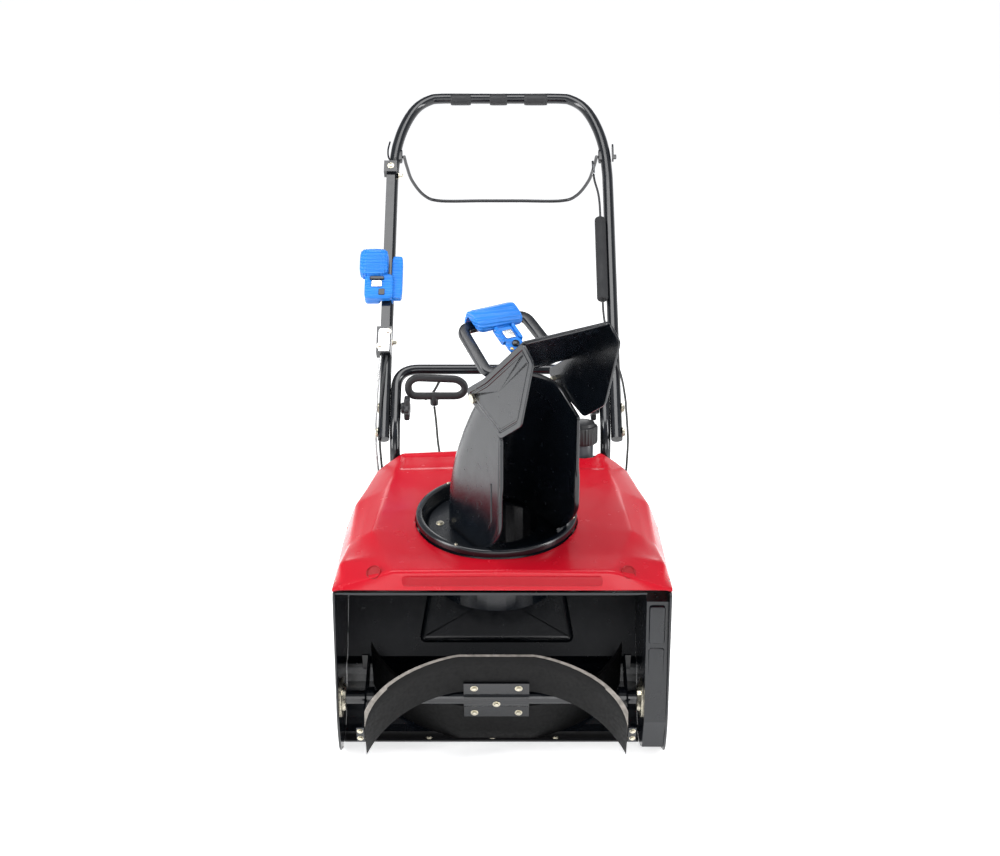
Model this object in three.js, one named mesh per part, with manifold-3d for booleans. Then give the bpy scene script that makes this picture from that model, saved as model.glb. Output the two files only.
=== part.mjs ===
// Single-stage walk-behind snow blower, modelled in millimetres with +Z up.
// The intake faces -Y, the handle leans back towards +Y, and +X is the belt side.
// Heights are measured from the ground; the whole group is centred over its own box at the end.
import * as THREE from 'three';
import { mergeVertices } from 'three/addons/utils/BufferGeometryUtils.js';
import Module from 'manifold-3d';

const wasm = await Module();
wasm.setup();

// ---------------------------------------------------------------- driving dimensions
const GAP = 0.3;                    // clearance between pieces that touch
const HALF_WIDTH = 280;             // outer face of each side plate
const PLATE = 2.5;                  // steel side plates
const MOUTH_HEIGHT = 326;           // top edge of the side plates
const WALL = 3;                     // moulded walls of the housing and hood

const AXIS_Y = 60;                  // rotor axis
const AXIS_Z = 106;
const ROTOR_R = 105;                // sweep of the paddles
const ROTOR_X = -10;                // middle of the rotor, moved aside by the belt guard
const ROTOR_HALF = 219;             // paddle tips from the rotor's middle
const TIP_MARGIN = 13.5;             // between the flat of a paddle tip and the sweep
const TIP_OFFSET = ROTOR_R - TIP_MARGIN;   // how far the paddle tips lie from the clamp plane
const ROTOR_TURN = 68;              // clamp plane's angle above the horizontal, in degrees
const SHAFT_R = 12;
const RUBBER = 7;                   // paddle thickness across the clamp plane
const TIP_LOW = 34;                 // tips reach this far past the shaft
const CLAMP_HALF = 56;              // clamp plates: half-length and reach from the shaft
const CLAMP_REACH = 42;
const PADDLE_FLAT = CLAMP_HALF + 6;   // half-length of the paddles' flat middle
const VOLUTE_GAP = 11;              // paddle sweep to the curved back wall

const GUARD_X = 240;                // inner face of the belt guard
const BELT_X = 262;                 // middle of the belt
const BELT_WIDTH = 9;
const PULLEY_R = 38;                // rotor pulley, on the belt's inner side
const DRIVER_R = 20;                // engine pulley
const CRANK_Y = 365;                // crankshaft
const CRANK_Z = 235;

const COLLAR_Y = 180;               // collar centre on the hood
const COLLAR_Z = 400;
const COLLAR_TILT = 8;              // forward lean of the collar and the hood top, in degrees
const COLLAR_R = 139.6;
const SEAT_WIDTH = 36.6;            // from the collar's outside to its throat
const THROAT_R = COLLAR_R - SEAT_WIDTH;
const CHUTE_TURN = 31;              // where the chute points at rest, from straight ahead, in degrees
const CHUTE_HALF = 76;              // half the chute's width
const CHUTE_WALL = 4;
const CHUTE_OVERHANG = 36.26;       // how far the chute's front edges lean out past the collar's rim
const PIVOT_D = 62;                 // deflector pivot, from the collar's axis
const PIVOT_H = 262;                // and above the collar

const WHEEL_R = 102;
const WHEEL_CLEAR = 46.03;          // from the tread to the crankshaft's axis, past the belt guard
const AXLE_Y = CRANK_Y + Math.sqrt((WHEEL_R + WHEEL_CLEAR) ** 2 - (CRANK_Z - WHEEL_R) ** 2);
const WHEEL_X = 237;                // middle of each wheel
const TYRE_WIDTH = 46;
const RIM_R = 62;
const AXLE_R = 8;
const DECK_Z = 140;                 // underside of the engine deck
const DECK_HALF = 200;

const HANDLE_X = -4;                // middle of the handle
const HANDLE_Y = 450;               // origin of the handle's own frame
const HANDLE_Z = 439;
const HANDLE_LEAN = 43.6;           // degrees above the horizontal
const TUBE_R = 11;
const UPPER_HALF = 219;             // middle of each upper leg
const LOWER_HALF = 198;
const LOWER_TUBE_R = 10;
const TOP_REACH = 815;              // top bar, along the handle
const CROSSBAR_REACH = 157;         // lower handle's crossbar
const KNOB_REACH = 72;              // clamp knobs
const BAIL_BELOW = 151;             // bail pivots, below the top bar
const BAIL_REACH = TOP_REACH - BAIL_BELOW;
const BAIL_LENGTH = 158;
const BAIL_DROP = 89;               // degrees that the released bail hangs from the handle's plane

const rad = THREE.MathUtils.degToRad;

// ---------------------------------------------------------------- materials
const finish = (color, roughness, metalness) =>
  new THREE.MeshStandardMaterial({ color, roughness, metalness });
const red = finish('#d31626', 0.35, 0);
const blackPlastic = finish('#101418', 0.45, 0);
const blackSteel = finish('#15181b', 0.35, 0.4);
const zinc = finish('#b9b6a6', 0.35, 0.9);
const blue = finish('#2b86d6', 0.5, 0);
const rubber = finish('#4a4742', 0.85, 0);
const tyre = finish('#1b1b1c', 0.9, 0);
const castMetal = finish('#7d8083', 0.5, 0.8);
const greyPlastic = finish('#3d444b', 0.5, 0);
const cableBlack = finish('#0c0d0e', 0.6, 0);
const rope = finish('#20221f', 0.9, 0);

// ---------------------------------------------------------------- solids
// Shared corners merged, and the faces turned outwards if they point in.
function outward(geometry) {
  const bare = geometry.clone();
  for (const name of Object.keys(bare.attributes)) {
    if (name !== 'position') bare.deleteAttribute(name);
  }
  const merged = mergeVertices(bare, 1e-3);
  const place = merged.attributes.position;
  const index = Array.from(merged.index.array);
  const [a, b, c] = [new THREE.Vector3(), new THREE.Vector3(), new THREE.Vector3()];
  let volume = 0;
  for (let i = 0; i < index.length; i += 3) {
    a.fromBufferAttribute(place, index[i]);
    b.fromBufferAttribute(place, index[i + 1]);
    c.fromBufferAttribute(place, index[i + 2]);
    volume += a.dot(b.cross(c));
  }
  merged.setIndex(volume < 0 ? index.reverse() : index);
  return merged;
}

function solid(geometry) {
  const merged = outward(geometry);
  return new wasm.Manifold(new wasm.Mesh({
    numProp: 3,
    vertProperties: new Float32Array(merged.attributes.position.array),
    triVerts: new Uint32Array(merged.index.array),
  }));
}

function surface(manifold) {
  const mesh = manifold.getMesh();
  const geometry = new THREE.BufferGeometry();
  geometry.setAttribute('position', new THREE.BufferAttribute(new Float32Array(mesh.vertProperties), 3));
  geometry.setIndex(new THREE.BufferAttribute(new Uint32Array(mesh.triVerts), 1));
  return geometry;
}

const joined = (...pieces) => surface(pieces.map(solid).reduce((a, b) => a.add(b)));
const cut = (body, ...tools) =>
  surface(tools.map(solid).reduce((a, b) => a.subtract(b), solid(body)));

function box(x0, x1, y0, y1, z0, z1) {
  return new THREE.BoxGeometry(x1 - x0, y1 - y0, z1 - z0)
    .translate((x0 + x1) / 2, (y0 + y1) / 2, (z0 + z1) / 2);
}

// A cylinder along X, Y or Z between two ends; two radii make a cone.
function rod(axis, start, end, r, sides = 20, rEnd = r) {
  const g = new THREE.CylinderGeometry(rEnd, r, end - start, sides).translate(0, (start + end) / 2, 0);
  if (axis === 'x') g.rotateZ(-Math.PI / 2);
  if (axis === 'z') g.rotateX(Math.PI / 2);
  return g;
}

// A flat outline of [y, z] points carried along X.
function prism(outline, x0, x1, holes = []) {
  const shape = new THREE.Shape(outline.map(([y, z]) => new THREE.Vector2(y, z)));
  for (const [y, z, r] of holes) {
    shape.holes.push(new THREE.Path().absarc(y, z, r, 0, 2 * Math.PI, true));
  }
  const g = new THREE.ExtrudeGeometry(shape, { depth: x1 - x0, bevelEnabled: false, curveSegments: 12 });
  const toX = new THREE.Matrix4().makeBasis(
    new THREE.Vector3(0, 1, 0), new THREE.Vector3(0, 0, 1), new THREE.Vector3(1, 0, 0));
  return g.applyMatrix4(toX).translate(x0, 0, 0);
}

// A flat outline of [x, y] points carried up Z.
function slab(outline, z0, z1) {
  const shape = new THREE.Shape(outline.map(([x, y]) => new THREE.Vector2(x, y)));
  return new THREE.ExtrudeGeometry(shape, { depth: z1 - z0, bevelEnabled: false }).translate(0, 0, z0);
}

// A turned piece about Z from a closed [radius, z] profile.
function turned(profile, sides = 40) {
  const points = [...profile, profile[0]].map(([r, z]) => new THREE.Vector2(r, z));
  return new THREE.LatheGeometry(points, sides);
}
const ring = (profile, sides) => turned(profile, sides).rotateX(Math.PI / 2);

// A round tube along a curve through points, with straight runs kept straight.
function tube(points, r, steps, halfSides = 5) {
  const path = new THREE.CatmullRomCurve3(points.map((p) => new THREE.Vector3(...p)), false, 'catmullrom', 0.5);
  const section = new THREE.Shape().absarc(0, 0, r, 0, 2 * Math.PI, false);
  return new THREE.ExtrudeGeometry(section, {
    steps, bevelEnabled: false, curveSegments: halfSides, extrudePath: path,
  });
}

// Rounded corners for a chain of straight runs: each corner becomes an arc-like curve.
function bentPath(corners, bend) {
  const path = new THREE.CurvePath();
  let from = new THREE.Vector3(...corners[0]);
  corners.slice(1, -1).forEach((corner, i) => {
    const at = new THREE.Vector3(...corner);
    const before = new THREE.Vector3(...corners[i]).sub(at).normalize();
    const after = new THREE.Vector3(...corners[i + 2]).sub(at).normalize();
    const enter = at.clone().addScaledVector(before, bend);
    const leave = at.clone().addScaledVector(after, bend);
    path.add(new THREE.LineCurve3(from, enter));
    path.add(new THREE.QuadraticBezierCurve3(enter, at, leave));
    from = leave;
  });
  path.add(new THREE.LineCurve3(from, new THREE.Vector3(...corners.at(-1))));
  return path;
}

function bentTube(corners, bend, r, steps, halfSides = 5) {
  const section = new THREE.Shape().absarc(0, 0, r, 0, 2 * Math.PI, false);
  return new THREE.ExtrudeGeometry(section, {
    steps, bevelEnabled: false, curveSegments: halfSides, extrudePath: bentPath(corners, bend),
  });
}

// A closed skin through rings of points that all have the same count. Both ends are closed
// with the same faces, given as triples of places in the ring.
function loft(rings, cap) {
  const count = rings[0].length;
  const position = rings.flat().flatMap((p) => [p.x, p.y, p.z]);
  const index = [];
  for (let i = 0; i < rings.length - 1; i++) {
    for (let j = 0; j < count; j++) {
      const a = i * count + j;
      const b = i * count + ((j + 1) % count);
      index.push(a, b, b + count, a, b + count, a + count);
    }
  }
  const follows = (p, q) => q === (p + 1) % count;
  const forward = cap.some(([a, b, c]) => follows(a, b) || follows(b, c) || follows(c, a));
  if (!forward) cap.forEach((face) => face.reverse());
  const last = (rings.length - 1) * count;
  for (const [a, b, c] of cap) {
    index.push(c, b, a);
    index.push(last + a, last + b, last + c);
  }
  const g = new THREE.BufferGeometry();
  g.setAttribute('position', new THREE.Float32BufferAttribute(position, 3));
  g.setIndex(index);
  return g;
}

// A shell under a grid of surface points: the inner skin is moved down, back and in by the wall.
function shellUnder(grid, thickness, halfWidth) {
  const inner = (p) => new THREE.Vector3(
    p.x * (1 - thickness / halfWidth), p.y + 0.75 * thickness, p.z - thickness);
  const rings = grid.map((row) => [...row, ...row.map(inner).reverse()]);
  const last = rings[0].length - 1;
  const rim = grid[0].slice(1).flatMap((_, j) => [[j, j + 1, last - j - 1], [j, last - j - 1, last - j]]);
  return loft(rings, rim);
}

const machine = new THREE.Group();
function add(parent, name, geometry, material) {
  const mesh = new THREE.Mesh(outward(geometry), material);
  mesh.name = name;
  parent.add(mesh);
  return mesh;
}

const circle = (cy, cz, r, from, to, steps) => Array.from({ length: steps + 1 }, (_, i) => {
  const a = rad(from + (to - from) * i / steps);
  return [cy + r * Math.cos(a), cz + r * Math.sin(a)];
});

// ---------------------------------------------------------------- chute and collar frame
const collar = new THREE.Group();
collar.position.set(ROTOR_X, COLLAR_Y, COLLAR_Z);
collar.rotation.x = rad(COLLAR_TILT);
const chuteFrame = new THREE.Group();   // x points the way the snow leaves, y across, z along the axis
chuteFrame.rotation.z = rad(CHUTE_TURN - 90);
collar.add(chuteFrame);
machine.add(collar);
collar.updateMatrixWorld(true);
const toCollar = collar.matrixWorld.clone();

const RIM_TOP = 3;
const RIM_IN = COLLAR_R - 11;
const FLOOR = -24;                      // where the turning flange rests
add(collar, 'chute_collar', ring([
  [THROAT_R, FLOOR - 14], [COLLAR_R - 4, FLOOR - 14], [COLLAR_R - 4, -9], [COLLAR_R, -9], [COLLAR_R, 0],
  [COLLAR_R - 3, RIM_TOP], [RIM_IN, RIM_TOP], [COLLAR_R - 19, FLOOR], [THROAT_R, FLOOR],
], 36), blackPlastic);

// ---------------------------------------------------------------- intake housing
const voluteR = ROTOR_R + VOLUTE_GAP;
const houseLeft = -HALF_WIDTH + PLATE + GAP;
const houseRight = GUARD_X - GAP;
const HOPPER_Y = 300;                   // rear of the hopper, behind the throat
const LEDGE_Z = 113;
const inside = [
  ...circle(AXIS_Y, AXIS_Z, voluteR, -57, 0, 9),
  [AXIS_Y + voluteR + 1, LEDGE_Z], [AXIS_Y + voluteR + 26, LEDGE_Z + 3],
  [HOPPER_Y, MOUTH_HEIGHT - 30], [HOPPER_Y, MOUTH_HEIGHT - 6], [8, MOUTH_HEIGHT - 6],
];
const outside = [
  [8, MOUTH_HEIGHT - 6 + WALL], [HOPPER_Y + WALL, MOUTH_HEIGHT - 6 + WALL], [HOPPER_Y + WALL, MOUTH_HEIGHT - 31],
  [AXIS_Y + voluteR + 28.5, LEDGE_Z], [AXIS_Y + voluteR + WALL, LEDGE_Z - 2],
  ...circle(AXIS_Y, AXIS_Z, voluteR + WALL, 0, -57, 9),
];
const throatPipe = ring([
  [THROAT_R, FLOOR - 14 - GAP], [THROAT_R, FLOOR - 110], [THROAT_R + WALL, FLOOR - 110],
  [THROAT_R + WALL, FLOOR - 14 - GAP],
], 40).applyMatrix4(toCollar);
const throatHole = rod('z', -200, 40, THROAT_R + 1, 40).applyMatrix4(toCollar);
const houseBody = cut(prism([...inside, ...outside], houseLeft, houseRight), throatHole);
add(machine, 'intake_housing', joined(houseBody, throatPipe), blackPlastic);

// Steel side plates: the front edge stands upright and curves back to the ground.
const PLATE_REAR = 318;
const frontEdge = [[3, MOUTH_HEIGHT], [1, MOUTH_HEIGHT - 30], [7, 150], [11, 80], [34, 22], [74, 1]];
const leftOutline = [...frontEdge, [232, 1], [262, 22], [292, 120], [PLATE_REAR, 200], [PLATE_REAR, MOUTH_HEIGHT - 4]];
const rightOutline = [
  ...frontEdge, [150, 1], [232, 87], [CRANK_Y - 34, CRANK_Z - 61], [CRANK_Y + 32, CRANK_Z - 33],
  [CRANK_Y + 37, CRANK_Z + 28], [CRANK_Y - 3, CRANK_Z + 71], [PLATE_REAR, MOUTH_HEIGHT - 4],
];
const shaftHole = [[AXIS_Y, AXIS_Z, SHAFT_R + 0.6]];
add(machine, 'side_plate_left', prism(leftOutline, -HALF_WIDTH, -HALF_WIDTH + PLATE, shaftHole), blackSteel);
add(machine, 'side_plate_right', prism(rightOutline, HALF_WIDTH - PLATE, HALF_WIDTH), blackSteel);

// Scraper: an angled steel-backed strip under the curved wall.
const SCRAPER_FRONT = 97;
add(machine, 'scraper_bar', prism([
  [SCRAPER_FRONT, 0.4], [152, 0.4], [152, 5], [128, 5], [SCRAPER_FRONT, 3.4],
], houseLeft, houseRight), blackPlastic);

// ---------------------------------------------------------------- rotor
const rotor = new THREE.Group();        // x along the shaft, y along the clamp plane, z off it
rotor.position.set(ROTOR_X, AXIS_Y, AXIS_Z);
rotor.rotation.x = rad(180 - ROTOR_TURN);
machine.add(rotor);
rotor.updateMatrixWorld(true);

// The sheet bends out of the clamp plane towards its tips, and its outer edge stays on the sweep.
const archRise = (s) => (1 - Math.sqrt(1 - (0.96 * s) ** 2)) ** 0.65;
// Stations crowd towards the tips, where the arch is steepest, and one lies at each end of the flat.
function paddleStation(t) {
  const side = t < 0.5 ? -1 : 1;
  const u = Math.abs(2 * t - 1);
  const flat = 2 / 14;
  return u <= flat + 1e-9 ? side * PADDLE_FLAT * u / flat
    : side * (PADDLE_FLAT + (ROTOR_HALF - PADDLE_FLAT) * Math.sin((u - flat) / (1 - flat) * Math.PI / 2));
}
function paddle() {
  const stations = 28;
  const rings = [];
  for (let i = 0; i <= stations; i++) {
    const x = paddleStation(i / stations);
    const s = Math.max(Math.abs(x) - PADDLE_FLAT, 0) / (ROTOR_HALF - PADDLE_FLAT);
    const off = TIP_OFFSET * archRise(s) / archRise(1);
    const slope = TIP_OFFSET * (archRise(Math.min(s + 0.01, 1)) - archRise(Math.max(s - 0.01, 0))) / archRise(1)
      / ((Math.min(s + 0.01, 1) - Math.max(s - 0.01, 0)) * (ROTOR_HALF - PADDLE_FLAT));
    const thick = RUBBER / 2 * Math.min(Math.hypot(1, s > 0.01 ? slope : 0), 1.9);
    const low = off - thick;
    const high = off + thick;
    const inner = SHAFT_R + 6 - (SHAFT_R + 6 + TIP_LOW) * s ** 3;
    const outer = (n) => Math.sqrt(ROTOR_R ** 2 - n * n);
    rings.push([
      new THREE.Vector3(x, inner, low), new THREE.Vector3(x, outer(low), low),
      new THREE.Vector3(x, outer(high), high), new THREE.Vector3(x, inner, high),
    ]);
  }
  return loft(rings, [[0, 1, 2], [0, 2, 3]]);
}
add(rotor, 'paddle_front', paddle(), rubber);
add(rotor, 'paddle_rear', paddle().rotateX(Math.PI), rubber);

add(rotor, 'rotor_shaft', rod('x', -HALF_WIDTH + 1 - ROTOR_X, BELT_X + 11 - ROTOR_X, SHAFT_R, 20), blackSteel);

// Pressed clamp plates fold round the shaft and hold both paddles.
const clampStart = RUBBER / 2 + GAP + 0.2;
function clampPlate() {
  const r = SHAFT_R + 1;
  const start = Math.asin(clampStart / r) * 180 / Math.PI;
  const outStart = Math.asin((clampStart + 3) / (r + 3)) * 180 / Math.PI;
  return prism([
    [-CLAMP_REACH, clampStart], ...circle(0, 0, r, 180 - start, start, 8), [CLAMP_REACH, clampStart],
    [CLAMP_REACH, clampStart + 3], ...circle(0, 0, r + 3, outStart, 180 - outStart, 8),
    [-CLAMP_REACH, clampStart + 3],
  ], -CLAMP_HALF, CLAMP_HALF);
}
add(rotor, 'rotor_clamp_front', clampPlate(), blackSteel);
add(rotor, 'rotor_clamp_rear', clampPlate().rotateX(Math.PI), blackSteel);

// End arms carry the paddle tips: a bar on a welded boss, with a flange at each end.
function endArm(side) {
  const face = side * (ROTOR_HALF + 3);
  const x0 = Math.min(face, face + side * 3);
  const reach = TIP_OFFSET - 8;
  const bar = box(x0, x0 + 3, -18, 18, -reach, reach);
  const flanges = [-1, 1].map((way) => {
    const z = way * (reach - 1.5);
    const xs = [face, face + side * 13].sort((a, b) => a - b);
    return box(xs[0], xs[1], -18, 18, z - 1.5, z + 1.5);
  });
  const boss = [face + side * 3, face - side * 12].sort((a, b) => a - b);
  const body = joined(bar, ...flanges, rod('x', boss[0], boss[1], SHAFT_R + 6, 20));
  return cut(body, rod('x', boss[0] - 1, boss[1] + 1, SHAFT_R + GAP, 20));
}
add(rotor, 'rotor_arm_left', endArm(-1), blackSteel);
add(rotor, 'rotor_arm_right', endArm(1), blackSteel);

// Bearings on the left plate and on the belt guard.
const bearing = (sides = 20) => ring([
  [SHAFT_R + GAP, 0], [34, 0], [34, 3], [24, 4], [22, 9], [SHAFT_R + GAP, 9],
], sides).rotateY(Math.PI / 2);
add(machine, 'bearing_left',
  bearing().translate(-HALF_WIDTH + PLATE + GAP, AXIS_Y, AXIS_Z), zinc);
add(machine, 'bearing_right',
  bearing().rotateZ(Math.PI).translate(GUARD_X - GAP, AXIS_Y, AXIS_Z), zinc);

// ---------------------------------------------------------------- belt drive
// Outline of a belt laid over two round pulleys, grown by an allowance.
function beltOutline(grow, steps = 14) {
  const dy = CRANK_Y - AXIS_Y;
  const dz = CRANK_Z - AXIS_Z;
  const along = Math.atan2(dz, dy) * 180 / Math.PI;
  const spread = Math.acos((PULLEY_R - DRIVER_R) / Math.hypot(dy, dz)) * 180 / Math.PI;
  return [
    ...circle(AXIS_Y, AXIS_Z, PULLEY_R + grow, along + spread, along + 360 - spread, steps),
    ...circle(CRANK_Y, CRANK_Z, DRIVER_R + grow, along - spread, along + spread, steps),
  ];
}
const BELT_DEEP = 6;
function shaped(outline, hole, x0, x1) {
  return cut(prism(outline, x0, x1), prism(hole, x0 - 1, x1 + 1));
}
const BELT_LIFT = 0.6;                  // belt's inner side above the pulley
add(machine, 'drive_belt', shaped(beltOutline(BELT_DEEP + BELT_LIFT, 18), beltOutline(BELT_LIFT, 18),
  BELT_X - BELT_WIDTH / 2, BELT_X + BELT_WIDTH / 2), cableBlack);

const pulley = (r, bore) => ring([
  [bore, -BELT_WIDTH / 2 - 3], [r + 3, -BELT_WIDTH / 2 - 3], [r + 3, -BELT_WIDTH / 2 - 1],
  [r - 0.2, -BELT_WIDTH / 2 - 0.6], [r - 0.2, BELT_WIDTH / 2 + 0.6], [r + 3, BELT_WIDTH / 2 + 1],
  [r + 3, BELT_WIDTH / 2 + 3], [bore, BELT_WIDTH / 2 + 3],
], 24).rotateY(Math.PI / 2);
add(rotor, 'rotor_pulley', pulley(PULLEY_R, SHAFT_R + GAP).translate(BELT_X - ROTOR_X, 0, 0), castMetal);

const CRANK_R = 10;
const crank = new THREE.Group();
crank.position.set(0, CRANK_Y, CRANK_Z);
machine.add(crank);
const SHAFT_START = 110 + GAP;           // where the crankshaft leaves the engine
add(crank, 'engine_pulley', joined(pulley(DRIVER_R, CRANK_R - 1).translate(BELT_X, 0, 0),
  rod('x', SHAFT_START, BELT_X + 11, CRANK_R, 20)), castMetal);

// Belt guard: a deep tray whose open side is closed by the right side plate.
const guardOutline = [
  [13, 305], [9.5, 150], [9.5, 84], [35, 24], [78, 4], [148, 4], [230, 90],
  [CRANK_Y - 36, CRANK_Z - 58], [CRANK_Y + 30, CRANK_Z - 31], [CRANK_Y + 34, CRANK_Z + 27],
  [CRANK_Y - 4, CRANK_Z + 67],
];
const guardCore = [
  [16.5, 301.5], [13, 150], [13, 86], [38.5, 27.5], [79.5, 7.5], [146.5, 7.5], [228, 93.5],
  [CRANK_Y - 38, CRANK_Z - 54.5], [CRANK_Y + 27, CRANK_Z - 28], [CRANK_Y + 30.5, CRANK_Z + 26],
  [CRANK_Y - 5.5, CRANK_Z + 63.5],
];
const guardTray = cut(
  prism(guardOutline, GUARD_X, HALF_WIDTH - PLATE - GAP),
  prism(guardCore, GUARD_X + WALL, HALF_WIDTH),
  rod('x', GUARD_X - 5, GUARD_X + 20, SHAFT_R + 2, 24).translate(0, AXIS_Y, AXIS_Z),
  rod('x', GUARD_X - 5, GUARD_X + 20, CRANK_R + 2, 24).translate(0, CRANK_Y, CRANK_Z),
);

// Idler: an arm on a fixed post with a flat roller that presses the belt's slack side.
const IDLER_Y = 296;                    // post
const IDLER_Z = 274;
const ROLLER_R = 13;
const ROLLER_CLEAR = 7;                 // to the belt while the bail is released
const beltLean = Math.atan2(CRANK_Z - AXIS_Z, CRANK_Y - AXIS_Y);
const offBelt = beltLean + Math.acos((PULLEY_R - DRIVER_R) / Math.hypot(CRANK_Y - AXIS_Y, CRANK_Z - AXIS_Z));
const ROLLER_SHARE = 0.53;              // how far along the belt's upper run the roller sits
const rollerOff = BELT_DEEP + BELT_LIFT + ROLLER_R + ROLLER_CLEAR;
const runR = PULLEY_R + (DRIVER_R - PULLEY_R) * ROLLER_SHARE + rollerOff;
const ROLLER_Y = AXIS_Y + (CRANK_Y - AXIS_Y) * ROLLER_SHARE + runR * Math.cos(offBelt);
const ROLLER_Z = AXIS_Z + (CRANK_Z - AXIS_Z) * ROLLER_SHARE + runR * Math.sin(offBelt);
const POST_R = 6;
const armLean = Math.atan2(IDLER_Z - ROLLER_Z, IDLER_Y - ROLLER_Y);
const armLength = Math.hypot(IDLER_Y - ROLLER_Y, IDLER_Z - ROLLER_Z);
const armX = GUARD_X + WALL + 4;
const armBar = box(armX, armX + 4, -8, armLength + 8, -8, 8).rotateX(armLean).translate(0, ROLLER_Y, ROLLER_Z);
const armPin = rod('x', armX + 3, BELT_X + 6, POST_R - 1, 16).translate(0, ROLLER_Y, ROLLER_Z);
add(machine, 'idler_arm', cut(joined(armBar, armPin),
  rod('x', armX - 1, armX + 6, POST_R + GAP, 16).translate(0, IDLER_Y, IDLER_Z)), blackSteel);
add(machine, 'idler_roller', cut(
  rod('x', BELT_X - 8, BELT_X + 8, ROLLER_R, 24).translate(0, ROLLER_Y, ROLLER_Z),
  rod('x', BELT_X - 9, BELT_X + 9, POST_R - 1 + GAP, 16).translate(0, ROLLER_Y, ROLLER_Z)), castMetal);
add(machine, 'belt_guard', joined(guardTray,
  rod('x', GUARD_X + 1, HALF_WIDTH - PLATE - GAP, POST_R, 16).translate(0, IDLER_Y, IDLER_Z)), blackPlastic);

// ---------------------------------------------------------------- hood
// Cross-sections from the front lip back: [y, z] of the crown, top edge, shoulder and skirt, with half-widths.
const hoodSections = [
  [[0, 0, 331], [185, 0, 331], [240, 0.5, 331], [274, 1, 331], [281, 2, 330]],
  [[0, 6, 364], [181, 8, 362], [225, 7, 348.5], [262, 6, 338], [281, 7, 332]],
  [[0, 60, 371], [198, 64, 368.5], [238, 60, 362], [272, 60, 356], [281, 60, 331]],
  [[0, 140, 383], [222, 140, 381], [244, 140, 370], [262, 140, 358], [281, 140, 330]],
  [[0, 215, 394], [215, 215, 391], [240, 213, 380], [262, 212, 368], [281, 214, 330]],
  [[0, 300, 406], [206, 300, 401], [236, 290, 390], [262, 285, 379], [281, 290, 330]],
  [[0, 370, 417], [196, 369, 411], [224, 358, 397], [248, 350, 384], [276, 352, 316]],
  [[0, 440, 428], [186, 436, 421], [212, 428, 406], [236, 418, 389], [262, 412, 318]],
];
const TABLE_HALF = 280;             // the plates' half-width that the table is for
const outwards = (x) => (x > 0 ? x + HALF_WIDTH - TABLE_HALF : 0);
const acrossHood = (row) => [
  ...[...row].reverse().map(([x, y, z]) => new THREE.Vector3(-outwards(x), y, z)),
  ...row.slice(1).map(([x, y, z]) => new THREE.Vector3(outwards(x), y, z)),
];
const hoodShell = shellUnder(hoodSections.map(acrossHood), WALL, HALF_WIDTH + 1);
const collarHole = rod('z', -60, 80, COLLAR_R + 0.6, 48).applyMatrix4(toCollar);
const FILLER_X = 150;
const FILLER_Y = 455;
const fillerNotch = rod('z', 380, 480, 36, 32).translate(FILLER_X, FILLER_Y, 0);
add(machine, 'hood', cut(hoodShell, collarHole, fillerNotch), red);

// ---------------------------------------------------------------- deck, axle and wheels
const DECK_REAR = 492;
const DECK_FRONT = 212;
const EAR_LOW = 84;
const ears = [-1, 1].map((side) => {
  const inner = Math.min(side * DECK_HALF, side * (DECK_HALF - WALL));
  return prism([[AXLE_Y - 45, DECK_Z + 1], [AXLE_Y - 18, EAR_LOW], [AXLE_Y + 18, EAR_LOW], [AXLE_Y + 45, DECK_Z + 1]],
    inner, inner + WALL);
});
const deckPlate = box(-DECK_HALF, DECK_HALF, DECK_FRONT + 11, DECK_REAR, DECK_Z, DECK_Z + WALL);
const axleHole = rod('x', -DECK_HALF - 5, DECK_HALF + 5, AXLE_R + GAP, 20).translate(0, AXLE_Y, WHEEL_R);
const crossMember = box(-HALF_WIDTH + PLATE + GAP, GUARD_X - GAP, 272, 300, DECK_Z - 10, DECK_Z + 1);
add(machine, 'engine_deck', cut(joined(deckPlate, crossMember, ...ears), axleHole), blackSteel);

add(machine, 'axle', rod('x', -WHEEL_X - TYRE_WIDTH / 2 - 6, WHEEL_X + TYRE_WIDTH / 2 + 6, AXLE_R, 20)
  .translate(0, AXLE_Y, WHEEL_R), zinc);
for (const [side, place] of [['left', -WHEEL_X], ['right', WHEEL_X]]) {
  const wheel = new THREE.Group();
  wheel.position.set(place, AXLE_Y, WHEEL_R);
  machine.add(wheel);
  const out = place < 0 ? -1 : 1;
  add(wheel, `wheel_${side}`, ring([
    [AXLE_R + GAP, -20], [18, -20], [20, -8], [46, -6], [50, -18], [RIM_R, -20], [RIM_R, 20],
    [50, 18], [46, 4], [20, 6], [18, 20], [AXLE_R + GAP, 20],
  ], 24).rotateY(out * Math.PI / 2), greyPlastic);
  const half = TYRE_WIDTH / 2;
  add(wheel, `tyre_${side}`, ring([
    [RIM_R + GAP, -half + 3], [WHEEL_R - 18, -half], [WHEEL_R - 6, -half + 3], [WHEEL_R, -half + 10],
    [WHEEL_R, half - 10], [WHEEL_R - 6, half - 3], [WHEEL_R - 18, half], [RIM_R + GAP, half - 3],
  ], 36).rotateY(Math.PI / 2), tyre);
}

// ---------------------------------------------------------------- chute
const CHUTE_IN = CHUTE_HALF - CHUTE_WALL;
const CHUTE_FRONT = Math.sqrt(RIM_IN ** 2 - CHUTE_HALF ** 2) + CHUTE_OVERHANG;   // front edges of its walls
const backCentre = (z) => -13 + 97 * (Math.max(z, 0) / 240) ** 1.8;
const frontEdgeAt = (z) => (z < 60 ? CHUTE_FRONT - 67 * ((60 - z) / 80) ** 1.6 : CHUTE_FRONT);
const TOP_ABOVE_PIVOT = 4.46;           // the sloping top edge, straight above the deflector's pivot
const chuteTop = (d) => PIVOT_H + TOP_ABOVE_PIVOT + (PIVOT_D - d) * 0.57;
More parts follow.
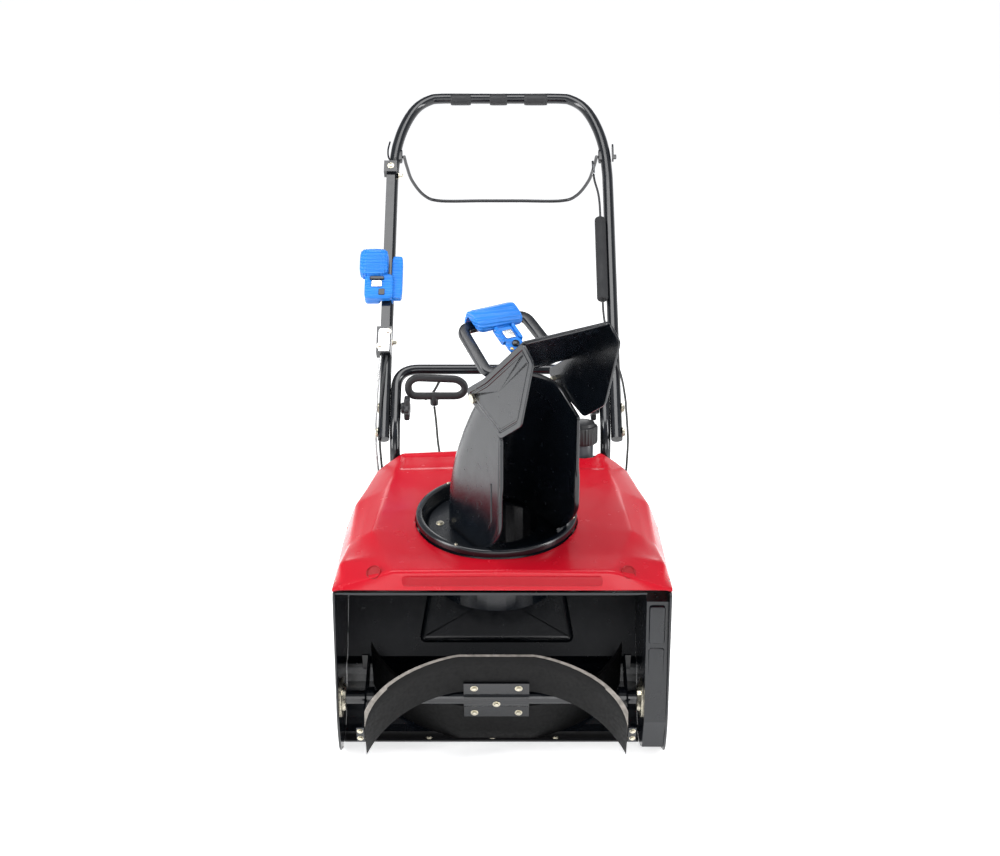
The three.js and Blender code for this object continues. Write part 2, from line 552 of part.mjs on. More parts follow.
// One U-shaped ring: outer wall round the back, then the inner wall back again.
function chuteRing(z) {
  const steps = 9;
  const centre = backCentre(z);
  const front = frontEdgeAt(z);
  const side = (half, way) => Array.from({ length: steps + 1 }, (_, i) => {
    const a = rad(90 + 180 * (way > 0 ? i : steps - i) / steps);
    return [centre + half * Math.cos(a), half * Math.sin(a)];
  });
  return [
    [front, CHUTE_HALF], ...side(CHUTE_HALF, 1), [front, -CHUTE_HALF],
    [front, -CHUTE_IN], ...side(CHUTE_IN, -1), [front, CHUTE_IN],
  ].map(([d, l]) => new THREE.Vector3(d, l, z));
}
const FLANGE_LOW = FLOOR + GAP;
const FLANGE_TOP = FLANGE_LOW + 5;
const chuteLevels = [FLANGE_TOP - 1, -8, 5, 20, 40, 60, 95, 130, 165, 200, 235, 265, 300];
const chuteRings = chuteLevels.map(chuteRing);
const chuteCap = THREE.ShapeUtils.triangulateShape(chuteRings[0].map((p) => new THREE.Vector2(p.x, p.y)), []);
const walls = loft(chuteRings, chuteCap);
const TRIM = 400;
const topTrim = slab([[-TRIM, -TRIM], [TRIM, -TRIM], [TRIM, TRIM], [-TRIM, TRIM]], 0, TRIM)
  .rotateY(Math.atan(0.57)).translate(CHUTE_FRONT, 0, chuteTop(CHUTE_FRONT));
const FLANGE_R = COLLAR_R - 21.6;       // inside the collar's sloping wall
const flange = ring([[74, FLANGE_LOW], [FLANGE_R, FLANGE_LOW], [FLANGE_R, FLANGE_TOP], [74, FLANGE_TOP]], 40);
const flangeThroat = rod('z', FLANGE_LOW - 5, FLANGE_TOP + 1, 74, 40);
const pivotHole = rod('y', -CHUTE_HALF - 5, CHUTE_HALF + 5, 4.3, 16).translate(PIVOT_D, 0, PIVOT_H);
add(chuteFrame, 'chute', cut(joined(cut(walls, flangeThroat), flange), topTrim, pivotHole), blackPlastic);

// ---------------------------------------------------------------- deflector
// Side outline in the chute's frame: [away from the axis, up].
const DEFLECTOR_WALL = 3;
const hexagon = [[98, 312], [212, 415], [243, 392], [208, 271], [148, 225], [46, 256], [42, 272]];
const deflectorIn = CHUTE_HALF + 0.8;
const acrossChute = (outline, l0, l1) => {   // a [d, z] outline carried across the chute
  const shape = new THREE.Shape(outline.map(([d, z]) => new THREE.Vector2(d, z)));
  return new THREE.ExtrudeGeometry(shape, { depth: l1 - l0, bevelEnabled: false, curveSegments: 10 })
    .rotateX(Math.PI / 2).translate(0, l1, 0);
};
const topSlab = [[98, 312], [212, 415], [214.5, 412.5], [100.5, 309.5]];
const deflectorShell = joined(
  acrossChute(hexagon, -deflectorIn - DEFLECTOR_WALL, -deflectorIn),
  acrossChute(hexagon, deflectorIn, deflectorIn + DEFLECTOR_WALL),
  acrossChute(topSlab, -deflectorIn - 1, deflectorIn + 1),
);
const hingeBore = rod('y', -100, 100, 4.3, 16).translate(PIVOT_D, 0, PIVOT_H);
add(chuteFrame, 'deflector', cut(deflectorShell, hingeBore), blackPlastic);

for (const [name, side] of [['deflector_pin_left', -1], ['deflector_pin_right', 1]]) {
  const inner = CHUTE_IN - 3;
  const outer = deflectorIn + DEFLECTOR_WALL + GAP;
  const pin = joined(rod('y', inner, outer + 4, 4, 16), rod('y', outer, outer + 5, 8, 16));
  const mesh = pin.translate(0, 0, 0);
  if (side < 0) mesh.rotateZ(Math.PI);
  add(chuteFrame, name, mesh.translate(PIVOT_D, 0, PIVOT_H), zinc);
}

// Handle loop above the deflector, leaning back over the chute. Its own frame has
// x across the chute, y up the loop and z towards the discharge side.
const LOOP_D = 93;
const LOOP_H = 312;
const LOOP_LEAN = rad(66);
const LOOP_LENGTH = 120;
const LOOP_HALF = 76;
const LOOP_TOP_HALF = 70;
const loop = new THREE.Group();
loop.position.set(LOOP_D, 0, LOOP_H);
loop.quaternion.setFromRotationMatrix(new THREE.Matrix4().makeBasis(
  new THREE.Vector3(0, 1, 0),
  new THREE.Vector3(-Math.sin(LOOP_LEAN), 0, Math.cos(LOOP_LEAN)),
  new THREE.Vector3(Math.cos(LOOP_LEAN), 0, Math.sin(LOOP_LEAN)),
));
chuteFrame.add(loop);
const POST_WIDE = 20;
const loopShape = new THREE.Shape([
  [-LOOP_HALF, 0], [LOOP_HALF, 0], [LOOP_TOP_HALF, LOOP_LENGTH], [-LOOP_TOP_HALF, LOOP_LENGTH],
].map(([x, y]) => new THREE.Vector2(x, y)));
loopShape.holes.push(new THREE.Path([
  [-LOOP_HALF + POST_WIDE, 16], [-LOOP_TOP_HALF + POST_WIDE - 2, LOOP_LENGTH - 18],
  [LOOP_TOP_HALF - POST_WIDE + 2, LOOP_LENGTH - 18], [LOOP_HALF - POST_WIDE, 16],
].map(([x, y]) => new THREE.Vector2(x, y))));
add(loop, 'deflector_handle',
  new THREE.ExtrudeGeometry(loopShape, { depth: 14, bevelEnabled: false }).translate(0, 0, -12), blackPlastic);

const TRIGGER_Y = 26;                   // trigger pivot up the loop
const grip = new THREE.Shape([[8, 82], [20, 82], [24, 92], [24, 116], [16, 128], [-12, 128], [-12, 121.5], [8, 121.5]]
  .map(([z, y]) => new THREE.Vector2(z, y)));
const gripBlock = new THREE.ExtrudeGeometry(grip, { depth: 82, bevelEnabled: false })
  .applyMatrix4(new THREE.Matrix4().makeBasis(
    new THREE.Vector3(0, 0, 1), new THREE.Vector3(0, 1, 0), new THREE.Vector3(-1, 0, 0)))
  .translate(37, 0, 0);
add(loop, 'deflector_trigger', joined(gripBlock, box(-18, 14, TRIGGER_Y - 6, 90, 8, 16)), blue);

// ---------------------------------------------------------------- handle
const handle = new THREE.Group();       // x across, y up the handle, z out of its upper face
handle.position.set(HANDLE_X, HANDLE_Y, HANDLE_Z);
handle.rotation.x = rad(HANDLE_LEAN);
machine.add(handle);
const mirrored = (points) => [
  ...points.map(([x, y, z = 0]) => [-x, y, z]), ...[...points].reverse().map(([x, y, z = 0]) => [x, y, z]),
];
add(handle, 'upper_handle', tube(mirrored([
  [UPPER_HALF, 5], [UPPER_HALF, 200], [UPPER_HALF, 400], [UPPER_HALF, TOP_REACH - 235],
  [UPPER_HALF - 1, TOP_REACH - 185], [UPPER_HALF - 5, TOP_REACH - 135], [UPPER_HALF - 14, TOP_REACH - 92],
  [UPPER_HALF - 29, TOP_REACH - 51], [UPPER_HALF - 47, TOP_REACH - 22], [UPPER_HALF - 70, TOP_REACH - 5],
  [UPPER_HALF - 94, TOP_REACH], [40, TOP_REACH],
]), TUBE_R, 60, 5), blackSteel);

const alongHandle = (y) => [
  HANDLE_Y + y * Math.cos(rad(HANDLE_LEAN)), HANDLE_Z + y * Math.sin(rad(HANDLE_LEAN)),
];
const legY = HANDLE_Y + 6;
const kneeZ = HANDLE_Z + 6 * Math.tan(rad(HANDLE_LEAN));
const [barY, barZ] = alongHandle(CROSSBAR_REACH);
const lowerCorners = [
  [-LOWER_HALF, legY, DECK_Z + WALL + GAP], [-LOWER_HALF, legY, kneeZ], [-LOWER_HALF, barY, barZ],
  [LOWER_HALF, barY, barZ], [LOWER_HALF, legY, kneeZ], [LOWER_HALF, legY, DECK_Z + WALL + GAP],
].map(([x, y, z]) => [x + HANDLE_X, y, z]);
add(machine, 'lower_handle', bentTube(lowerCorners, 42, LOWER_TUBE_R, 54, 5), blackSteel);

// Clamp knobs: six lobes round a hub, on the inner side of the lower legs.
const LOBES = 6;
const KNOB_R = 21;
const lobed = new THREE.Shape(Array.from({ length: 48 }, (_, i) => {
  const a = 2 * Math.PI * i / 48;
  const r = KNOB_R + 3 * Math.cos(LOBES * a);
  return new THREE.Vector2(r * Math.cos(a), r * Math.sin(a));
}));
for (const [name, side] of [['fold_knob_left', -1], ['fold_knob_right', 1]]) {
  const knob = joined(
    new THREE.ExtrudeGeometry(lobed, { depth: 11, bevelEnabled: false }).translate(0, 0, -15),
    rod('z', -5, 0, 11, 20), rod('z', -22, -14, 4, 12),
  ).rotateY(side * Math.PI / 2).translate(side * (LOWER_HALF - LOWER_TUBE_R - GAP), 0, 0);
  const holder = new THREE.Group();
  holder.position.set(0, KNOB_REACH, 0);
  handle.add(holder);
  add(holder, name, knob, blackPlastic);
}

// Bail: a sprung rod that hangs below the top bar until it is drawn up to it.
const bail = new THREE.Group();
bail.position.set(0, BAIL_REACH, 0);
bail.rotation.x = -rad(BAIL_DROP);
handle.add(bail);
const BAIL_HALF = 198;
const BAIL_R = 3.5;
add(bail, 'handle_bail', tube(mirrored([
  [BAIL_HALF, 0], [BAIL_HALF - 4, 35], [BAIL_HALF - 13, 86], [BAIL_HALF - 36, BAIL_LENGTH - 20],
  [BAIL_HALF - 69, BAIL_LENGTH], [40, BAIL_LENGTH],
]), BAIL_R, 44, 3), blackSteel);

// Bail cable inside a padded sleeve, in two stretches that meet at the fold.
const SLEEVE_X = UPPER_HALF - 19;
const SLEEVE_Z = 12.5;
const SLEEVE_LOW = 307;
const SLEEVE_HIGH = BAIL_REACH - 164;
add(handle, 'cable_sleeve', cut(
  rod('y', SLEEVE_LOW, SLEEVE_HIGH, TUBE_R, 20).translate(SLEEVE_X, 0, SLEEVE_Z),
  rod('y', SLEEVE_LOW - 1, SLEEVE_HIGH + 1, 3, 12).translate(SLEEVE_X, 0, SLEEVE_Z),
), greyPlastic);
const CABLE_R = 2.2;
add(handle, 'bail_cable_upper', tube([
  [BAIL_HALF - 9, BAIL_REACH - 16, 5], [BAIL_HALF - 7, BAIL_REACH - 64, 10],
  [SLEEVE_X, SLEEVE_HIGH + 40, 12.5], [SLEEVE_X, SLEEVE_HIGH, SLEEVE_Z],
  [SLEEVE_X, (SLEEVE_HIGH + SLEEVE_LOW - 7) / 2, SLEEVE_Z], [SLEEVE_X, SLEEVE_LOW - 7, SLEEVE_Z], [SLEEVE_X + 3, 250, 15], [SLEEVE_X + 14, 190, 18],
  [SLEEVE_X + 30, 135, 15], [SLEEVE_X + 37, 90, 8], [SLEEVE_X + 38, 66, 6],
], CABLE_R, 48, 2), cableBlack);
add(handle, 'bail_cable_lower', tube([
  [SLEEVE_X + 38, 65.5, 6], [SLEEVE_X + 39, 40, 4], [SLEEVE_X + 40, 5, -4], [SLEEVE_X + 38, -30, -26],
  [SLEEVE_X + 36, -60, -58], [SLEEVE_X + 38, -90, -82], [SLEEVE_X + 44, -132, -84],
], CABLE_R, 30, 2), cableBlack);

// ---------------------------------------------------------------- chute control on the left leg
const RAIL_X = -UPPER_HALF - 3;
const RAIL_LOW = 232;
const RAIL_HIGH = TOP_REACH - 211;
const RAIL_Z = TUBE_R + 6;
const capLow = box(RAIL_X - 15, RAIL_X + 13, RAIL_LOW - 56, RAIL_LOW + 2, TUBE_R + GAP, RAIL_Z + 16);
add(handle, 'rail_bracket_lower', cut(capLow,
  box(RAIL_X - 9, RAIL_X + 9, RAIL_LOW - 20, RAIL_LOW + 3, RAIL_Z - GAP, RAIL_Z + 9 + GAP)), blackPlastic);
add(handle, 'chute_rail', joined(
  box(RAIL_X - 8.5, RAIL_X + 8.5, RAIL_LOW - 19, RAIL_HIGH, RAIL_Z, RAIL_Z + 9),
  box(RAIL_X - 14, RAIL_X + 12, RAIL_HIGH - 1, RAIL_HIGH + 26, TUBE_R + GAP, RAIL_Z + 15)), blackSteel);

const lever = new THREE.Group();
lever.position.set(RAIL_X, 335, RAIL_Z);
handle.add(lever);
const leverBody = joined(
  box(-42, 14, -42, 14, -4, 26), box(-54, 4, 8, 70, 4, 34), box(10, 32, -38, 60, 2, 20));
add(lever, 'chute_lever', cut(leverBody, box(-9.5, 9.5, -80, 80, -5, 10), box(-30, -6, -20, -2, 14, 60)), blue);
add(lever, 'lever_squeeze', box(-29, -7, -19, -3, 19, 30), zinc);

// Chute cable: a steel conduit from the lower bracket, again in two stretches.
add(handle, 'chute_cable_upper', tube([
  [RAIL_X - 6, RAIL_LOW - 57, 22], [RAIL_X - 9, RAIL_LOW - 90, 20], [RAIL_X - 11, RAIL_LOW - 130, 14],
  [RAIL_X - 12, 66, 8],
], 2.6, 16, 2), zinc);
add(handle, 'chute_cable_lower', tube([
  [RAIL_X - 12, 65.5, 8], [RAIL_X - 13, 40, 2], [RAIL_X - 12, 0, -12], [RAIL_X - 8, -40, -40],
  [RAIL_X - 2, -70, -70], [RAIL_X + 12, -100, -92],
], 2.6, 26, 2), zinc);

// ---------------------------------------------------------------- recoil starter grip and rope
const GRIP_X = -130;
const GRIP_Y = 534;
const GRIP_Z = 493;
const dRing = new THREE.Shape([
  [-44, 4], [50, 4], [62, 12], [66, 28], [56, 46], [36, 53], [-38, 53], [-52, 46], [-56, 28], [-52, 12],
].map(([x, z]) => new THREE.Vector2(x, z)));
dRing.holes.push(new THREE.Path([
  [-38, 17], [-42, 28], [-36, 40], [34, 40], [48, 34], [52, 26], [46, 17],
].map(([x, z]) => new THREE.Vector2(x, z))));
const dGrip = new THREE.ExtrudeGeometry(dRing, { depth: 14, bevelEnabled: false })
  .rotateX(Math.PI / 2).translate(0, 7, 0);
const recoil = new THREE.Group();
recoil.position.set(GRIP_X, GRIP_Y, GRIP_Z);
machine.add(recoil);
add(recoil, 'recoil_grip', joined(dGrip, rod('z', -8, 10, 8, 20)), blackPlastic);
add(machine, 'rope_guide', tube([
  [GRIP_X + 12, 550, 538], [GRIP_X + 8, 547, 525], [GRIP_X - 4, 545, 505], [GRIP_X - 18, 545, 492],
], 2.5, 14, 3), blackSteel);
const COVER_R = 78;
const COVER_X = -118;
add(machine, 'starter_rope', tube([
  [GRIP_X, GRIP_Y - 1, GRIP_Z - 11], [GRIP_X + 4, 510, 460], [GRIP_X + 10, 470, 420], [GRIP_X + 24, 425, 366],
  [GRIP_X + 36, 396, 318],
], 2.2, 24, 2), rope);

// ---------------------------------------------------------------- engine
const BLOCK_X = -25;
const deckTop = DECK_Z + WALL;
const crankcase = box(BLOCK_X, 110, HOPPER_Y + WALL + 4, CRANK_Y + 48, deckTop + GAP, 316);
const cylinder = box(5, 95, CRANK_Y + 40, 470, 190, 290);
add(machine, 'engine_block', joined(crankcase, cylinder), castMetal);
add(machine, 'recoil_cover', joined(
  rod('x', COVER_X + 14, BLOCK_X - GAP, COVER_R, 36).translate(0, CRANK_Y, CRANK_Z),
  rod('x', COVER_X, COVER_X + 14, COVER_R - 14, 36, COVER_R).translate(0, CRANK_Y, CRANK_Z),
), blackPlastic);
add(machine, 'muffler', box(116, 178, 400, 470, 170, 300), castMetal);
add(machine, 'air_box', box(-88, -2, 446, 476, 258, 386), blackPlastic);

const TANK_TOP = 404;
const NECK_TOP = 436;
add(machine, 'fuel_tank', joined(
  box(24, 178, 396, 478, 326, TANK_TOP), rod('z', TANK_TOP - 2, NECK_TOP, 21, 28).translate(FILLER_X, FILLER_Y, 0),
), greyPlastic);
add(machine, 'fuel_cap', joined(
  rod('z', NECK_TOP + GAP, NECK_TOP + 34, 29, 32), rod('z', NECK_TOP + 33, NECK_TOP + 42, 24, 32),
).translate(FILLER_X, FILLER_Y, 0), blackPlastic);

// ---------------------------------------------------------------- rear panel and its controls
const PANEL_Y = 482;
const PANEL_T = 3;
const PRIMER_X = 20;
const CONTROL_Z = 352;
const PRIMER_R = 13;
const panel = box(-185, 185, PANEL_Y, PANEL_Y + PANEL_T, deckTop + GAP, 400);
add(machine, 'rear_panel', cut(panel,
  rod('y', PANEL_Y - 5, PANEL_Y + 10, PRIMER_R + 1, 24).translate(PRIMER_X, 0, CONTROL_Z)), blackPlastic);
add(machine, 'primer_button', joined(
  rod('y', PANEL_Y - 1, PANEL_Y + PANEL_T + 8, PRIMER_R, 24),
  rod('y', PANEL_Y + PANEL_T + 7, PANEL_Y + PANEL_T + 12, 8, 24, PRIMER_R - 1),
).translate(PRIMER_X, 0, CONTROL_Z), rubber);
const onPanel = PANEL_Y + PANEL_T + GAP;
add(machine, 'choke_knob', joined(
  rod('y', onPanel, onPanel + 10, 17, 28), box(-3.5, 3.5, onPanel + 9, onPanel + 22, -15, 15),
).translate(-45, 0, CONTROL_Z), blackPlastic);
add(machine, 'ignition_key', joined(
  rod('y', onPanel, onPanel + 8, 11, 24), box(-2.5, 2.5, onPanel + 7, onPanel + 26, -11, 11),
).translate(-110, 0, CONTROL_Z), zinc);

// ---------------------------------------------------------------- placed over its own box
machine.updateMatrixWorld(true);
const bounds = new THREE.Box3().setFromObject(machine, true);
machine.position.set(-(bounds.min.x + bounds.max.x) / 2, -(bounds.min.y + bounds.max.y) / 2, -bounds.min.z);
machine.updateMatrixWorld(true);

export default machine;
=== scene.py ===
import math

import bmesh
import bpy
import numpy as np
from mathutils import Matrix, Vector


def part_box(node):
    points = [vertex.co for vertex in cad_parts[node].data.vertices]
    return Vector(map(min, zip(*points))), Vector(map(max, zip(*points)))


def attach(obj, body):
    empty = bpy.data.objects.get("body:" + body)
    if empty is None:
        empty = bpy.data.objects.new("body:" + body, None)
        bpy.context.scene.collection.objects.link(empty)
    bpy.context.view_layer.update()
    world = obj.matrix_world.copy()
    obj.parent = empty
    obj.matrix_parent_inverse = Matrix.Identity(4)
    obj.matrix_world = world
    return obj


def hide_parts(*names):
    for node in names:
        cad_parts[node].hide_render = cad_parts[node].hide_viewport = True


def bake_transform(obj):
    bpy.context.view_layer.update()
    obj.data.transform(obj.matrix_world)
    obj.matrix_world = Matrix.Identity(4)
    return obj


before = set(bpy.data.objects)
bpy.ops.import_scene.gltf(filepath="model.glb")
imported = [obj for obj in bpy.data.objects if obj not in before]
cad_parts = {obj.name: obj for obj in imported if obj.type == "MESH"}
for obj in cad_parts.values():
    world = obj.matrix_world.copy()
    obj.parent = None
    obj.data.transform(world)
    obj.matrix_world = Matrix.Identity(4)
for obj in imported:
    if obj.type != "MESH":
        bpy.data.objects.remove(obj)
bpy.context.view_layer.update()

# ---- Hood
# The red hood is one glossy moulded cover: a crowned top that rises to the rear, faceted
# shoulders and a short front face over the intake. It drops over the housing and the engine,
# with a round hole for the chute collar and a notch for the fuel cap.
lip_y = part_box("hood")[0].y             # the machine's own origin: under the middle of this lip


def metres(points):
    """Machine millimetres (Y from the hood's lip) to the frame's metres: p / 1000 + (0, lip, 0)."""
    return np.asarray(points, float) / 1000 + np.array([0, lip_y, 0])


def grid_faces(rows, cols, around=False, along=False):
    """Corner numbers of the quads of a rows x cols grid: (i, j), (i, j+1), (i+1, j+1), (i+1, j).
    around joins the last column to the first, along joins the last row to the first."""
    i = np.arange(rows if along else rows - 1)[:, None]
    j = np.arange(cols if around else cols - 1)[None, :]
    i1, j1 = (i + 1) % rows, (j + 1) % cols
    corners = [i * cols + j, i * cols + j1, i1 * cols + j1, i1 * cols + j]
    return np.stack([np.broadcast_to(c, (i.size, j.size)) for c in corners], -1).reshape(-1, 4)


def make_mesh(name, points, faces, smooth=True):
    """A mesh of the points (mm) and the faces that use them, with doubles merged and normals out."""
    mesh = bpy.data.meshes.new(name)
    mesh.from_pydata(metres(points).reshape(-1, 3).tolist(), [], [list(f) for f in faces])
    work = bmesh.new()
    work.from_mesh(mesh)
    bmesh.ops.remove_doubles(work, verts=work.verts, dist=1e-6)
    bmesh.ops.dissolve_degenerate(work, edges=work.edges, dist=1e-7)
    bmesh.ops.recalc_face_normals(work, faces=work.faces)
    work.to_mesh(mesh)
    work.free()
    mesh.polygons.foreach_set("use_smooth", np.full(len(mesh.polygons), smooth))
    return mesh


def fit(name, mesh, body, material, stands_for=()):
    """Puts a finished mesh on its body and material, in place of CAD nodes if named."""
    thing = bpy.data.objects.new(name, mesh)
    bpy.context.collection.objects.link(thing)
    mesh.materials.append(material)
    if body:
        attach(thing, body)
    if stands_for:
        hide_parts(*stands_for)
    return thing


def wall(thing, thickness, offset=-1):
    """Gives an open sheet its wall, in millimetres, inwards from its outer face."""
    layer = thing.modifiers.new("wall", "SOLIDIFY")
    layer.thickness, layer.offset, layer.use_even_offset = thickness / 1000, offset, True
    return thing


def crease(thing, degrees=35):
    """Smooth shading that stops at edges sharper than the angle."""
    flat = thing.data
    flat.polygons.foreach_set("use_smooth", np.ones(len(flat.polygons), bool))
    flat.set_sharp_from_angle(angle=math.radians(degrees))
    return thing


def surface_finish(name, colour, rough, metal=0.0, vary=0.06, uneven=0.08, grain=900, bump=0.04,
                   drift=9, coat=0.0, grain_axis=(1, 1, 1), shine=0.5, ribs=0):
    """Principled surface: colour times (1 +- vary) by a slow noise, roughness +- uneven by a
    middling noise, and a fine grain bump. Object coordinates, so it stays on the piece.
    ribs, if any, are moulded bands across the height, so many to 0.314 m."""
    mat = bpy.data.materials.new(name)
    mat.use_nodes = True
    tree = mat.node_tree
    shader = tree.nodes["Principled BSDF"]
    shader.inputs["Metallic"].default_value = metal
    shader.inputs["Coat Weight"].default_value = coat
    shader.inputs["Coat Roughness"].default_value = 0.06
    shader.inputs["Specular IOR Level"].default_value = shine
    where = tree.nodes.new("ShaderNodeTexCoord").outputs["Object"]

    def noise(scale, detail=3.0):
        node = tree.nodes.new("ShaderNodeTexNoise")
        node.inputs["Scale"].default_value = scale
        node.inputs["Detail"].default_value = detail
        tree.links.new(where, node.inputs["Vector"])
        return node.outputs["Fac"]

    ramp = tree.nodes.new("ShaderNodeValToRGB")
    ramp.color_ramp.elements[0].position, ramp.color_ramp.elements[1].position = 0.3, 0.7
    ramp.color_ramp.elements[0].color = (*(c * (1 - vary) for c in colour), 1)
    ramp.color_ramp.elements[1].color = (*(min(c * (1 + vary), 1) for c in colour), 1)
    tree.links.new(noise(drift), ramp.inputs["Fac"])
    tree.links.new(ramp.outputs["Color"], shader.inputs["Base Color"])
    spread = tree.nodes.new("ShaderNodeMapRange")
    spread.inputs["From Min"].default_value, spread.inputs["From Max"].default_value = 0.3, 0.7
    spread.inputs["To Min"].default_value = max(rough - uneven, 0.03)
    spread.inputs["To Max"].default_value = rough + uneven
    tree.links.new(noise(drift * 4), spread.inputs["Value"])
    tree.links.new(spread.outputs["Result"], shader.inputs["Roughness"])
    if bump:
        turn = tree.nodes.new("ShaderNodeMapping")
        turn.inputs["Scale"].default_value = grain_axis
        tree.links.new(where, turn.inputs["Vector"])
        fine = tree.nodes.new("ShaderNodeTexNoise")
        fine.inputs["Scale"].default_value = grain
        fine.inputs["Detail"].default_value = 2.0
        tree.links.new(turn.outputs["Vector"], fine.inputs["Vector"])
        lift = tree.nodes.new("ShaderNodeBump")
        lift.inputs["Strength"].default_value = bump
        lift.inputs["Distance"].default_value = 0.001
        tree.links.new(fine.outputs["Fac"], lift.inputs["Height"])
        tree.links.new(lift.outputs["Normal"], shader.inputs["Normal"])
        if ribs:
            bands = tree.nodes.new("ShaderNodeTexWave")
            bands.bands_direction = "Z"
            bands.inputs["Scale"].default_value = ribs
            tree.links.new(where, bands.inputs["Vector"])
            rib = tree.nodes.new("ShaderNodeBump")
            rib.inputs["Strength"].default_value = 0.7
            rib.inputs["Distance"].default_value = 0.0014
            tree.links.new(bands.outputs["Fac"], rib.inputs["Height"])
            tree.links.new(lift.outputs["Normal"], rib.inputs["Normal"])
            tree.links.new(rib.outputs["Normal"], shader.inputs["Normal"])
    return mat


red_moulding = surface_finish("glossy red moulding", (0.44, 0.004, 0.014), 0.24, vary=0.03,
                              uneven=0.04, grain=700, bump=0.008, coat=0.12, shine=0.3)


def stretch(points, row_steps, col_steps):
    """Straight-line infill of a coarse grid: so many steps between each two rows and columns."""
    for axis, steps in ((0, row_steps), (1, col_steps)):
        place = np.concatenate([k + np.arange(n) / n for k, n in enumerate(steps)] + [[len(steps)]])
        low = np.minimum(place.astype(int), points.shape[axis] - 2)
        part = (place - low).reshape([-1 if a == axis else 1 for a in range(3)])
        points = points.take(low, axis) * (1 - part) + points.take(low + 1, axis) * part
    return points


def ease(points, times, axis):
    """Rounds creases: each inner point becomes a quarter of both neighbours and half itself."""
    p = np.moveaxis(points, axis, 0).copy()
    for _ in range(times):
        p[1:-1] = (p[:-2] + 2 * p[1:-1] + p[2:]) / 4
    return np.moveaxis(p, 0, axis)


def punch(points, keep, centre, radius, tilt=0.0):
    """Cuts a round hole about a leaning axis: points just inside it move out to its edge, and
    faces with a point further in are dropped. Returns the points and which of them remain."""
    c, s = math.cos(tilt), math.sin(tilt)
    off = points - centre
    flat = np.stack([off[..., 0], c * off[..., 1] + s * off[..., 2]], -1)
    up = -s * off[..., 1] + c * off[..., 2]
    reach = np.hypot(flat[..., 0], flat[..., 1])
    band = (reach < radius) & (reach > radius - 8.5)
    scaled = np.where(band, radius / np.maximum(reach, 1), 1)[..., None] * flat
    moved = np.stack([scaled[..., 0], c * scaled[..., 1] - s * up, s * scaled[..., 1] + c * up], -1)
    return np.where(band[..., None], moved + centre, points), keep & (reach > radius - 8.5), reach >= radius


# [half-width, back, up] of the crown, top edge, shoulder and skirt, from the front lip back
hood_sections = np.array([
    [[0, 0, 331], [185, 0, 331], [240, 0.5, 331], [274, 1, 331], [281, 2, 330]],
    [[0, 6, 364], [181, 8, 362], [225, 7, 348.5], [262, 6, 338], [281, 7, 332]],
    [[0, 60, 371], [198, 64, 368.5], [238, 60, 362], [272, 60, 356], [281, 60, 331]],
    [[0, 140, 383], [222, 140, 381], [244, 140, 370], [262, 140, 358], [281, 140, 330]],
    [[0, 215, 394], [215, 215, 391], [240, 213, 380], [262, 212, 368], [281, 214, 330]],
    [[0, 300, 406], [206, 300, 401], [236, 290, 390], [262, 285, 379], [281, 290, 330]],
    [[0, 370, 417], [196, 369, 411], [224, 358, 397], [248, 350, 384], [276, 352, 316]],
    [[0, 440, 428], [186, 436, 421], [212, 428, 406], [236, 418, 389], [262, 412, 318]],
], float)
flipped = hood_sections[:, :0:-1] * np.array([-1, 1, 1])
hood_grid = stretch(np.concatenate([flipped, hood_sections], 1), [12, 18, 24, 22, 24, 20, 20],
                    [8, 8, 10, 60, 60, 10, 8, 8])
hood_grid = ease(ease(hood_grid, 2, 0), 2, 1)
step_depth = 3.0 * np.clip((hood_grid[..., 1] - 372) / 5, 0, 1)
step_depth *= np.clip((432 - hood_grid[..., 1]) / 5, 0, 1)
hood_grid[..., 2] -= step_depth * np.clip((188 - np.abs(hood_grid[..., 0])) / 6, 0, 1)
collar_middle, collar_lean = np.array([-10.0, 180.0, 400.0]), math.radians(8)
whole = np.ones(hood_grid.shape[:2], bool)
hood_grid, whole, clear_ring = punch(hood_grid, whole, collar_middle, 140.6, collar_lean)
hood_grid, whole, clear_cap = punch(hood_grid, whole, np.array([150.0, 455.0, 0.0]), 36.5)
quads = grid_faces(*whole.shape)
outside = (clear_ring & clear_cap).ravel()
quads = quads[whole.ravel()[quads].all(1) & outside[quads].any(1)]
hood = fit("hood_shell", make_mesh("hood", hood_grid, quads), "chassis",
           red_moulding, ["hood"])
wall(hood, 3)
crease(hood, 60)

# Plain raised band across the front face of the hood, moulded in and a little darker.
# Its outline is a long bar with round ends, and it follows the slope of the face.
band_red = surface_finish("front band red", (0.33, 0.003, 0.010), 0.30, vary=0.03, uneven=0.04,
                          grain=700, bump=0.008, coat=0.05, shine=0.25)


def slope_y(x, z):
    """How far back the hood's front face is at a height: 0.19 to 0.26 mm per mm up."""
    return (0.182 + 0.076 * np.abs(x) / 185) * (z - 331)


across, up = np.meshgrid(np.linspace(-1, 1, 61), np.linspace(-1, 1, 9))
half_length = 168 + 6 * (np.sqrt(np.clip(1 - up ** 2, 0, 1)) - 1)
band_x, band_z = across * half_length, 346 + 9.5 * up
rise = 1.1 * (1 - np.maximum(np.abs(across) ** 60, np.abs(up) ** 12))
band = np.stack([band_x, slope_y(band_x, band_z) + 0.4 - rise, band_z], -1)
fit("hood_band", make_mesh("hood band", band, grid_faces(9, 61)), "chassis", band_red)


